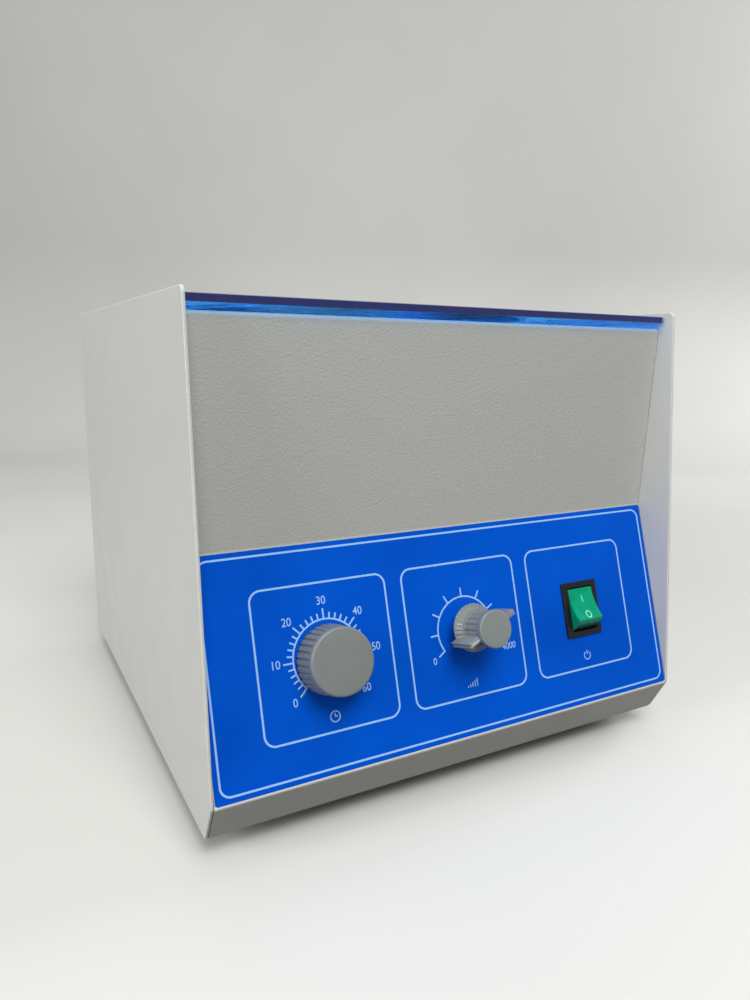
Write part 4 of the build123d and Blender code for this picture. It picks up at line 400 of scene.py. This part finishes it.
def paint(name, colour, grain_size, grain_depth, roughness=0.42, grain_cells=False, painted_highlight_bands=()):
    """Baked powder coat: orange peel or leather grain, faint clouding, rubbed pale edges.

    Each band is a painted highlight along a fold: (lowest height, highest height, softness, how far back it goes,
    colour).
    """
    finish = Finish(name, sockets={"Specular IOR Level": 0.25})
    clouds = finish.noise(0.09, 4.0)
    speckle = finish.noise(0.0011, 2.0)
    base = finish.tint(finish.span(clouds, 0.2, 0.8), darker(colour, 0.985), colour)
    base = finish.tint(finish.span(speckle, 0.62, 0.8), base, darker(colour, 0.95))
    rub = finish.sum(finish.edges(0.7 * mm), finish.span(finish.noise(0.006), 0.35, 0.6), "MULTIPLY")
    base = finish.tint(rub, base, srgb(228, 229, 224))
    spot = finish.node("SeparateXYZ", {0: finish.place}).outputs
    # Painted highlights: each band tints a fold paler or bluer as if lit
    for lowest, highest, softness, deepest, highlight_colour in painted_highlight_bands:
        inside = finish.sum(finish.span(spot[2], lowest - softness, lowest),
                            finish.span(spot[2], highest + softness, highest), "MULTIPLY")
        inside = finish.sum(inside, finish.span(spot[1], deepest, deepest - softness), "MULTIPLY")
        base = finish.tint(inside, base, highlight_colour)
    if grain_cells:
        height = finish.sum(finish.cells(grain_size), finish.noise(grain_size * 0.6, 2.0))
    else:
        height = finish.noise(grain_size, 2.0)
    shine = finish.span(finish.noise(0.03), 0.3, 0.7, roughness - 0.04, roughness + 0.06)
    normal = finish.relief(height, grain_depth, finish.soft_normal(0.5 * mm))
    return finish.done(base, shine, normal)


def sheet_metal(name, colour, roughness, direction):
    """Plated or brushed sheet with fine lines along one direction and cloudy dullness."""
    finish = Finish(name, metallic=1.0)
    lines = finish.noise(0.0012, 4.0, finish.stretched(*direction))
    clouds = finish.noise(0.02, 4.0)
    base = finish.tint(finish.span(clouds, 0.35, 0.65), darker(colour, 0.86), colour)
    shine = finish.span(lines, 0.3, 0.7, roughness - 0.07, roughness + 0.1)
    normal = finish.relief(lines, 0.015 * mm, finish.soft_normal(0.25 * mm))
    return finish.done(base, shine, normal)


def turned_metal(name, colour, roughness, centre, metallic=1.0, line=0.0006):
    """Metal turned or spun round the rotor's axis: rings in its shine and relief."""
    finish = Finish(name, metallic)
    rings = finish.noise(line, 3.0, finish.around(centre))
    clouds = finish.noise(0.03, 4.0)
    base = finish.tint(finish.span(clouds, 0.3, 0.7), darker(colour, 0.88), colour)
    base = finish.tint(finish.edges(0.5 * mm), base, srgb(238, 238, 238))
    shine = finish.span(rings, 0.3, 0.7, roughness - 0.08, roughness + 0.1)
    normal = finish.relief(rings, 0.012 * mm, finish.soft_normal(0.4 * mm))
    return finish.done(base, shine, normal)


def plastic(name, colour, roughness, grain=0.0005, depth=0.012, sockets=None):
    """Moulded plastic: fine spark grain, slight clouding, edges rubbed a little paler."""
    finish = Finish(name, sockets=sockets)
    clouds = finish.noise(0.015, 3.0)
    base = finish.tint(finish.span(clouds, 0.3, 0.7), darker(colour, 0.94), colour)
    pale = tuple(min(1.0, part * 1.25 + 0.02) for part in colour[:3]) + (1.0,)
    base = finish.tint(finish.edges(0.35 * mm), base, pale)
    shine = finish.span(finish.noise(0.004), 0.3, 0.7, roughness - 0.04, roughness + 0.06)
    normal = finish.relief(finish.noise(grain, 2.0), depth * mm, finish.soft_normal(0.35 * mm))
    return finish.done(base, shine, normal)


def rubber(name, colour):
    """Dull rubber with a fine tooth and dust in its hollows."""
    finish = Finish(name)
    dust = finish.noise(0.012, 5.0)
    base = finish.tint(finish.span(dust, 0.5, 0.75), colour, darker(colour, 2.2))
    shine = finish.span(dust, 0.3, 0.7, 0.6, 0.8)
    normal = finish.relief(finish.noise(0.0007), 0.04 * mm, finish.soft_normal(0.4 * mm))
    return finish.done(base, shine, normal)


def blue_acrylic():
    """Clear blue sheet with sawn navy edges. Lamps shine through it with a blue cast."""
    finish = Finish("blue_acrylic", sockets={"IOR": 1.49})
    smears = finish.noise(0.05, 5.0)
    upright = finish.node("SeparateXYZ", {0: finish.node("TexCoord").outputs["Normal"]}).outputs[2]
    flat_face = finish.span(finish.sum(upright, 0.0, "ABSOLUTE"), 0.6, 0.95)
    saw_marks = finish.noise(0.002, 2.0, finish.stretched(1, 1, 0.1))
    edge = finish.tint(saw_marks, srgb(16, 28, 92), srgb(26, 42, 114))
    shine = finish.span(smears, 0.45, 0.75, 0.015, 0.09)
    clearness = finish.span(flat_face, 0.0, 1.0, 0.12, 1.0)
    finish.feed(finish.shader.inputs["Transmission Weight"], clearness)
    finish.done(finish.tint(flat_face, edge, srgb(248, 250, 253)), shine)
    lamps = finish.node("BsdfTransparent", {"Color": (0.6, 0.8, 0.97, 1.0)})
    rays = finish.node("LightPath")
    mixed = finish.node("MixShader", {0: rays.outputs["Is Shadow Ray"],
                                      1: finish.shader.outputs[0], 2: lamps.outputs[0]})
    inside = finish.node("VolumeAbsorption", {"Color": (0.02, 0.69, 0.982, 1.0), "Density": 520.0})
    output = finish.tree.nodes["Material Output"]
    finish.tree.links.new(mixed.outputs[0], output.inputs["Surface"])
    finish.tree.links.new(inside.outputs[0], output.inputs["Volume"])
    return finish.material


def label_film():
    """Blue printed film with a satin face, light scuffs and a very fine tooth."""
    finish = Finish("label_film", sockets={"Specular IOR Level": 0.04})
    clouds = finish.noise(0.06, 3.0)
    base = finish.tint(finish.span(clouds, 0.3, 0.7), srgb(0, 78, 193), srgb(0, 84, 203))
    scuffs = finish.span(finish.noise(0.02, 6.0), 0.6, 0.8)
    shine = finish.span(scuffs, 0.0, 1.0, 0.36, 0.5)
    normal = finish.relief(finish.noise(0.0006, 2.0), 0.008 * mm)
    return finish.done(base, shine, normal)


def print_ink(name, colour):
    """Screen printed ink, a little uneven in cover."""
    finish = Finish(name)
    cover = finish.noise(0.0008, 3.0)
    base = finish.tint(finish.span(cover, 0.55, 0.8), colour, darker(colour, 0.86))
    return finish.done(base, finish.span(cover, 0.3, 0.7, 0.4, 0.5))


def green_rocker():
    """Glossy green moulding, with a painted highlight along its edges and painted shade on the lip that faces
    down.
    """
    finish = Finish("green_rocker", sockets={"Specular IOR Level": 0.12})
    clouds = finish.noise(0.006, 3.0)
    base = finish.tint(finish.span(clouds, 0.3, 0.7), srgb(0, 140, 104), srgb(0, 154, 116))
    # Painted highlight along the edges
    base = finish.tint(finish.edges(0.5 * mm), base, srgb(0, 170, 130))
    facing_up = finish.node("VectorMath", {0: finish.node("TexCoord").outputs["Normal"], 1: panel_up},
                            operation="DOT_PRODUCT").outputs["Value"]
    # Painted shade on the faces that point down
    base = finish.tint(finish.span(facing_up, -0.55, -0.9), base, srgb(0, 74, 50))
    shine = finish.span(clouds, 0.3, 0.7, 0.24, 0.34)
    normal = finish.relief(finish.noise(0.0004, 2.0), 0.01 * mm, finish.soft_normal(0.5 * mm))
    return finish.done(base, shine, normal)


def board_parts():
    """Electronic parts on the board: dark mouldings with pale patches."""
    finish = Finish("board_parts")
    blocks = finish.cells(0.012, "F1")
    base = finish.tint(finish.span(blocks, 0.3, 0.6), srgb(28, 30, 34), srgb(120, 124, 130))
    normal = finish.relief(finish.noise(0.001), 0.03 * mm, finish.soft_normal(0.3 * mm))
    return finish.done(base, finish.span(blocks, 0.0, 1.0, 0.3, 0.6), normal)


rotor_centre = Vector(joints["rotor_spin"]["pos_m"])
label_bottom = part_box("control_label")[0].z
panel_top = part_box("front_panel")[1].z
panel_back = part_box("front_panel")[1].y
lid_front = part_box("lid_panel")[0].y
# Painted highlights on the front panel's folds: pale under the label, cyan at the top bend added to the real blue
# light through the lid
panel_painted_highlights = (
    (label_bottom - label_fold_highlight_height, label_bottom, label_fold_highlight_softness, panel_back,
     srgb(236, 237, 232)),
    (panel_top - top_fold_highlight_height, panel_top, top_fold_highlight_softness, lid_front + top_fold_highlight_depth,
     srgb(166, 220, 246)),
)

finishes = {
    "side_paint": paint("side_paint", srgb(197, 198, 193), 0.0016, 0.05 * mm),
    # The front panel has the side plates' paint set darker, as painted shade
    "panel_paint": paint("panel_paint", srgb(180, 181, 175), 0.0011, 0.12 * mm, 0.46,
                         grain_cells=True, painted_highlight_bands=panel_painted_highlights),
    "back_paint": paint("back_paint", srgb(190, 191, 186), 0.0014, 0.06 * mm),
    "deck_paint": paint("deck_paint", srgb(190, 191, 186), 0.0011, 0.1 * mm, 0.44,
                        grain_cells=True),
    "zinc": sheet_metal("zinc", srgb(178, 182, 186), 0.42, (1, 0.2, 1)),
    "screw_steel": sheet_metal("screw_steel", srgb(186, 188, 190), 0.3, (1, 1, 1)),
    "stainless": turned_metal("stainless", srgb(196, 197, 197), 0.27, rotor_centre),
    "hinge_steel": sheet_metal("hinge_steel", srgb(190, 190, 188), 0.28, (0.05, 1, 1)),
    "black_rubber": rubber("black_rubber", srgb(28, 28, 29)),
    "grey_rubber": rubber("grey_rubber", srgb(70, 71, 72)),
    "seal_silicone": rubber("seal_silicone", srgb(118, 132, 142)),
    "clear_silicone": plastic("clear_silicone", srgb(214, 222, 228), 0.3,
                              sockets={"Transmission Weight": 0.8}),
    "lid_acrylic": blue_acrylic(),
    "label_film": label_film(),
    "label_print": print_ink("label_print", srgb(150, 192, 242)),
    "pointer_ink": print_ink("pointer_ink", srgb(196, 199, 200)),
    "rocker_ink": print_ink("rocker_ink", srgb(128, 232, 196)),
    "rotor_alloy": turned_metal("rotor_alloy", srgb(176, 178, 181), 0.36, rotor_centre),
    "sleeve_alloy": sheet_metal("sleeve_alloy", srgb(206, 208, 210), 0.3, (1, 1, 1)),
    "nut_brass": turned_metal("nut_brass", srgb(205, 170, 96), 0.28, rotor_centre),
    "shaft_steel": turned_metal("shaft_steel", srgb(186, 188, 190), 0.22, rotor_centre),
    "core_steel": sheet_metal("core_steel", srgb(96, 96, 98), 0.5, (1, 1, 12)),
    "copper": turned_metal("copper", srgb(186, 98, 58), 0.34, rotor_centre,
                           metallic=0.8, line=0.0009),
    "bar_copper": turned_metal("bar_copper", srgb(196, 118, 78), 0.3, rotor_centre),
    "fan_plastic": plastic("fan_plastic", srgb(38, 38, 40), 0.5),
    "bearing_steel": turned_metal("bearing_steel", srgb(196, 198, 200), 0.16, rotor_centre),
    "motor_paint": paint("motor_paint", srgb(48, 50, 54), 0.0012, 0.05 * mm, 0.4),
    "cast_alloy": sheet_metal("cast_alloy", srgb(160, 162, 164), 0.5, (1, 1, 1)),
    "holder_plastic": plastic("holder_plastic", srgb(72, 42, 28), 0.45),
    "carbon": rubber("carbon", srgb(42, 42, 44)),
    "timer_case": plastic("timer_case", srgb(214, 210, 198), 0.45),
    "knob_grey": plastic("knob_grey", srgb(116, 122, 121), 0.38, grain=0.0004, depth=0.015),
    "speed_knob_grey": plastic("speed_knob_grey", srgb(124, 130, 128), 0.32, grain=0.0004),
    "pot_steel": sheet_metal("pot_steel", srgb(182, 184, 184), 0.36, (1, 1, 1)),
    "switch_black": plastic("switch_black", srgb(17, 15, 19), 0.42, depth=0.02,
                            sockets={"Specular IOR Level": 0.25}),
    "rocker_green": green_rocker(),
    "inlet_black": plastic("inlet_black", srgb(26, 26, 28), 0.42),
    "contact_brass": sheet_metal("contact_brass", srgb(196, 176, 120), 0.3, (1, 1, 0.1)),
    "board_green": plastic("board_green", srgb(24, 92, 58), 0.4),
    "component_mix": board_parts(),
    "wire_cover": plastic("wire_cover", srgb(168, 36, 34), 0.4),
}

# The rim seal alone looks milky, where the other pieces of its record material are black
for subpart in record["subparts"]:
    dressed = nodes[subpart["node"]].data
    dressed.materials.clear()
    finish_name = "seal_silicone" if subpart["node"] == "rim_seal" else subpart["material_slot"]
    dressed.materials.append(finishes[finish_name])


# Numbers and plain symbols on the control label

label_middle = middle("control_label")
label_face = reach("control_label", panel_out)
label_frame = panel_frame(label_middle, label_face + print_lift)


def print_piece(name, mesh, frame_matrix, body, slot="label_print", ink="label_print"):
    """Makes a flat drawing into thin print that moves with a body."""
    thicken(mesh, print_depth)
    piece = finish_mesh(name, mesh, frame_matrix)
    place_piece(piece, body, slot, finishes[ink])


timer_numbers = bmesh.new()
for minute in range(0, timer_last_minute + 1, timer_number_every):
    turn = radians(timer_scale_half * (2 * minute / timer_last_minute - 1))
    spot = (timer_dial_x + timer_number_radius * sin(turn) + timer_number_shift[0],
            timer_number_radius * cos(turn) + timer_number_shift[1])
    lettering(timer_numbers, str(minute), number_height, spot)
print_piece("timer_numbers", timer_numbers, label_frame, "cabinet")

speed_numbers = bmesh.new()
lettering(speed_numbers, "0", speed_number_height, speed_zero_place)
lettering(speed_numbers, "4000", speed_number_height, speed_full_place)
print_piece("speed_numbers", speed_numbers, label_frame, "cabinet")


def clock_symbol(mesh, x, y):
    """A clock face with two hands."""
    face_radius = 2.5 * mm
    long_hand = 1.6 * mm
    short_hand = 1.3 * mm
    ribbon(mesh, arc_points(face_radius, 0, 345, 24, (x, y)), symbol_line, closed=True)
    ribbon(mesh, [(x, y + long_hand), (x, y - symbol_line / 2)], symbol_line)
    ribbon(mesh, [(x, y), (x + short_hand, y)], symbol_line)


def rising_symbol(mesh, x, y):
    """Bars that grow from left to right."""
    bars = 5
    spacing = 1.5 * mm
    foot = y - 2 * mm
    lowest_top = y - 1.2 * mm
    growth = 0.8 * mm
    for step in range(bars):
        across = x + (step - bars // 2) * spacing
        ribbon(mesh, [(across, foot), (across, lowest_top + step * growth)], symbol_line)


def power_symbol(mesh, x, y):
    """An open ring with a stroke in its gap."""
    ring_radius = 2.3 * mm
    stroke_top = 2.9 * mm
    stroke_foot = 0.5 * mm
    ribbon(mesh, arc_points(ring_radius, 125, 415, 24, (x, y)), symbol_line)
    ribbon(mesh, [(x, y + stroke_top), (x, y + stroke_foot)], symbol_line)


switch_x = middle("switch_housing").x
symbols = bmesh.new()
clock_symbol(symbols, timer_dial_x, -symbol_drop)
rising_symbol(symbols, speed_dial_x, -symbol_drop)
power_symbol(symbols, switch_x, -symbol_drop)
print_piece("panel_symbols", symbols, label_frame, "cabinet")


# Timer knob: fluted side, smooth rounded rim, hollow back

def timer_knob():
    base = -reach("timer_knob", -panel_out)
    length = reach("timer_knob", panel_out) - base
    low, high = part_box("timer_knob")
    radius = (high.x - low.x) / 2
    lean = (radius - timer_face_radius) / length
    rim_start = length - timer_rim
    profile = [(radius - timer_wall, timer_hollow, 0.0), (radius - timer_wall, 0.0, 0.0),
               (radius - timer_foot, 0.0, 0.4), (radius, timer_foot, 1.0)]
    for step in range(1, timer_side_rings + 1):
        height = rim_start * step / timer_side_rings
        profile.append((radius - lean * height, height, 1.0))
    for rise, share in timer_flute_fade:
        profile.append((radius - lean * rim_start, rim_start + rise, share))
    profile += rounded_end(timer_face_radius, length, timer_edge)
    profile.append((timer_face_radius * 0.5, length, 0.0))
    mesh = bmesh.new()
    turned(mesh, profile, timer_flutes * flute_steps, timer_flutes, timer_flute_share,
           timer_flute_depth)
    knob_frame = panel_frame(middle("timer_knob"), base)
    piece = finish_mesh("timer_knob_moulding", mesh, knob_frame, smooth_angle=50.0)
    place_piece(piece, "timer_knob", "knob_grey", finishes["knob_grey"], "timer_knob")


timer_knob()


# Speed knob: ribbed skirt, fluted barrel, round cap and the pointer bar through it

def bar_outline():
    """The bar seen from its front, with a groove in its pointer end."""
    half = bar_thickness / 2
    return [(-bar_half_length, -half), (bar_half_length, -half), (bar_half_length, half),
            (-bar_half_length, half), (-bar_half_length, groove_width / 2),
            (-bar_half_length + groove_depth, 0.0), (-bar_half_length, -groove_width / 2)]


def speed_knob():
    base = -reach("speed_knob", -panel_out)
    length = reach("speed_knob", panel_out) - base
    cap_bottom = length - cap_height
    mesh = bmesh.new()
    skirt = [(skirt_radius - speed_round, 0.0, 0.0), (skirt_radius, speed_round, 0.0),
             (skirt_radius, skirt_rim - speed_round, 0.0),
             (skirt_radius - skirt_shoulder, skirt_rim, 0.5)]
    for step in range(1, skirt_rings):
        share = step / skirt_rings
        skirt.append((skirt_radius + (skirt_top_radius - skirt_radius) * share,
                      skirt_rim + (skirt_height - skirt_rim) * share, 1.0))
    skirt.append((skirt_top_radius, skirt_height, 0.4))
    turned(mesh, skirt, skirt_ribs * rib_steps, skirt_ribs, rib_groove_share, rib_depth)
    barrel = [(barrel_radius, skirt_height * barrel_start_share, 1.0)]
    for step in range(1, barrel_rings + 1):
        height = skirt_height + (cap_bottom - skirt_height) * step / barrel_rings
        barrel.append((barrel_radius, height, 1.0))
    turned(mesh, barrel, barrel_flutes * flute_steps, barrel_flutes, barrel_flute_share,
           barrel_flute_depth)
    cap = [(cap_radius - speed_round, cap_bottom, 0.0),
           (cap_radius, cap_bottom + speed_round, 0.0)]
    cap += rounded_end(cap_radius, length, cap_edge)
    cap.append((cap_radius * 0.5, length, 0.0))
    turned(mesh, cap, cap_steps)
    knob_frame = panel_frame(middle("speed_knob"), base)
    piece = finish_mesh("speed_knob_moulding", mesh, knob_frame, smooth_angle=50.0)
    grey = finishes["speed_knob_grey"]
    place_piece(piece, "speed_knob", "speed_knob_grey", grey, "speed_knob")

    bar = bmesh.new()
    corners = [bar.verts.new((x, y, bar_lift)) for x, y in bar_outline()]
    face = bar.faces.new(corners)
    raised = bmesh.ops.extrude_face_region(bar, geom=[face])["geom"]
    tops = [item for item in raised if isinstance(item, bmesh.types.BMVert)]
    bmesh.ops.translate(bar, verts=tops, vec=(0, 0, length - bar_setback - bar_lift))
    bmesh.ops.recalc_face_normals(bar, faces=bar.faces)
    bmesh.ops.bevel(bar, geom=bar.edges[:], offset=bar_round, segments=3, profile=0.5, affect="EDGES")
    turn = Matrix.Rotation(radians(bar_rotation), 4, "Z")
    wing = finish_mesh("speed_pointer_bar", bar, knob_frame @ turn, smooth_angle=40.0)
    place_piece(wing, "speed_knob", "speed_knob_grey", grey)

    line = bmesh.new()
    start = -bar_half_length + groove_depth + bar_round
    ribbon(line, [(start, 0.0), (-barrel_radius - bar_round, 0.0)], pointer_line)
    top = knob_frame @ turn @ Matrix.Translation((0, 0, length - bar_setback))
    print_piece("speed_pointer_line", line, top, "speed_knob", ink="pointer_ink")


speed_knob()


# Marks on the rocker: a stroke above and a ring below, laid on its face

def laid_on(mesh, name, frame_matrix):
    """Drops a flat drawing along its local -Z onto a CAD node, and stops just above it."""
    tree = BVHTree.FromPolygons([vertex.co for vertex in nodes[name].data.vertices],
                                [polygon.vertices for polygon in nodes[name].data.polygons])
    down = -(frame_matrix.to_3x3() @ Vector((0, 0, 1)))
    for vertex in mesh.verts:
        start = frame_matrix @ vertex.co - down * drop_height
        hit = tree.ray_cast(start, down)[0]
        if hit is not None:
            vertex.co = frame_matrix.inverted() @ (hit - down * print_lift)


def rocker_marks():
    rocker_frame = panel_frame(middle("rocker"), reach("rocker", panel_out))
    mesh = bmesh.new()
    stroke_top = rocker_bar_rise + rocker_bar_length / 2
    steps = 8
    stroke = [(0.0, stroke_top - rocker_bar_length * step / steps) for step in range(steps + 1)]
    ribbon(mesh, stroke, rocker_mark_line)
    ribbon(mesh, arc_points(rocker_ring_radius, 0, 350, 35, (0.0, -rocker_ring_drop)),
           rocker_mark_line, closed=True)
    laid_on(mesh, "rocker", rocker_frame)
    print_piece("rocker_marks", mesh, rocker_frame, "rocker", ink="rocker_ink")


rocker_marks()


# Place numbers on the rotor's dish, one beside each tube

def rotor_numbers():
    bores = [mount for mount in record["mounts"] if mount["name"].startswith("tube_bore_")]
    for number, bore in enumerate(bores, start=1):
        along = Vector(bore["axis"]).normalized()
        mouth = Vector(bore["pos_m"]) + along * bore_half_length
        outward = (mouth - rotor_centre) * Vector((1, 1, 0))
        across = Vector((0, 0, 1)).cross(outward).normalized()
        up_dish = along.cross(across)
        axes = Matrix((-across, -up_dish, along)).transposed().to_4x4()
        spot = mouth - up_dish * rotor_number_inset * (1 if up_dish.dot(outward) > 0 else -1)
        mesh = bmesh.new()
        lettering(mesh, str(number), rotor_number_height, (0.0, 0.0))
        number_frame = Matrix.Translation(spot) @ axes
        laid_on(mesh, "rotor_body", number_frame)
        print_piece(f"rotor_number_{number}", mesh, number_frame, "rotor",
                    slot="black_rubber", ink="black_rubber")


rotor_numbers()


# Floor, wall, lamps and camera

stage_width = 6.0
stage_front = -3.0
wall_place = 1.6
wall_height = 3.5
wall_curve = 0.5
wall_curve_steps = 12
# Heights over which the light that the stage bounces changes from the floor's to the wall's
bounce_low = 0.05
bounce_high = 0.4
room_grey = srgb(206, 206, 202)
room_strength = 0.36
lamp_aim = Vector((0, 0, 0.12))
# Each lamp: name, place, width, power in watts
lamps = (
    ("ceiling_lamp", (-0.3, -1.5, 2.0), 1.4, 48.0),
    ("left_lamp", (-1.6, -0.3, 0.7), 0.9, 17.0),
    ("right_lamp", (2.5, 0.0, 1.2), 1.0, 32.0),
)


def backdrop():
    """A pale bench top that rises into a pale wall behind it in one soft curve.

    It looks pale, but bounces little light off its floor, as a dark table does.
    """
    line = [(stage_front, 0.0)]
    for step in range(wall_curve_steps + 1):
        turn = pi / 2 * step / wall_curve_steps
        line.append((wall_place - wall_curve + wall_curve * sin(turn),
                     wall_curve - wall_curve * cos(turn)))
    line.append((wall_place, wall_height))
    mesh = bmesh.new()
    rows = []
    for depth, rise in line:
        rows.append([mesh.verts.new((side * stage_width / 2, depth, rise)) for side in (-1, 1)])
    for (left, right), (next_left, next_right) in zip(rows, rows[1:]):
        mesh.faces.new((left, right, next_right, next_left))
    stage = finish_mesh("backdrop", mesh, Matrix.Rotation(radians(-camera_heading), 4, "Z"))
    finish = Finish("backdrop")
    clouds = finish.noise(0.8, 3.0)
    pale = finish.tint(finish.span(clouds, 0.3, 0.7), srgb(200, 200, 196), srgb(208, 208, 204))
    height = finish.node("SeparateXYZ", {0: finish.place}).outputs[2]
    bounced = finish.tint(finish.span(height, bounce_low, bounce_high),
                          srgb(36, 36, 36), srgb(200, 200, 198))
    rays = finish.node("LightPath").outputs
    seen = finish.sum(finish.sum(rays["Is Camera Ray"], rays["Is Glossy Ray"]),
                      rays["Is Transmission Ray"])
    base = finish.tint(seen, bounced, pale)
    stage.data.materials.append(finish.done(base, 0.6))


def lamp(name, place, size, power):
    """A large soft white lamp that looks at the object's middle."""
    light = bpy.data.lights.new(name, "AREA")
    light.shape = "DISK"
    light.size = size
    light.energy = power
    holder = bpy.data.objects.new(name, light)
    bpy.context.scene.collection.objects.link(holder)
    aim = lamp_aim - Vector(place)
    holder.rotation_euler = aim.to_track_quat("-Z", "Y").to_euler()
    holder.location = place


def world_light(strength):
    """An even grey light all round, which camera and reflections see as the pale room."""
    world = bpy.data.worlds.new("room")
    world.use_nodes = True
    tree = world.node_tree
    rays = tree.nodes.new("ShaderNodeLightPath").outputs
    background = tree.nodes["Background"]
    previous = None
    for kind in ("Is Camera Ray", "Is Glossy Ray", "Is Transmission Ray"):
        mix = tree.nodes.new("ShaderNodeMix")
        mix.data_type = "RGBA"
        tree.links.new(rays[kind], mix.inputs["Factor"])
        if previous is None:
            mix.inputs["A"].default_value = (strength, strength, strength, 1.0)
        else:
            tree.links.new(previous, mix.inputs["A"])
        mix.inputs["B"].default_value = room_grey
        previous = mix.outputs["Result"]
    tree.links.new(previous, background.inputs["Color"])
    bpy.context.scene.world = world


def photo_camera():
    """The camera, from its heading, pitch and roll in degrees."""
    heading, pitch, roll = (radians(angle) for angle in (camera_heading, camera_pitch, camera_roll))
    forward = Vector((sin(heading) * cos(pitch), cos(heading) * cos(pitch), sin(pitch)))
    level_right = Vector((cos(heading), -sin(heading), 0))
    level_up = level_right.cross(forward)
    right = level_right * cos(roll) + level_up * sin(roll)
    up = level_up * cos(roll) - level_right * sin(roll)
    data = bpy.data.cameras.new("camera")
    data.lens = camera_lens
    data.clip_start = 0.01
    holder = bpy.data.objects.new("camera", data)
    bpy.context.scene.collection.objects.link(holder)
    axes = Matrix((right, up, -forward)).transposed().to_4x4()
    holder.matrix_world = Matrix.Translation(camera_place) @ axes
    bpy.context.scene.camera = holder


backdrop()
for lamp_name, lamp_place, lamp_size, lamp_power in lamps:
    lamp(lamp_name, lamp_place, lamp_size, lamp_power)
world_light(room_strength)
photo_camera()
bpy.context.scene.view_settings.view_transform = "Standard"
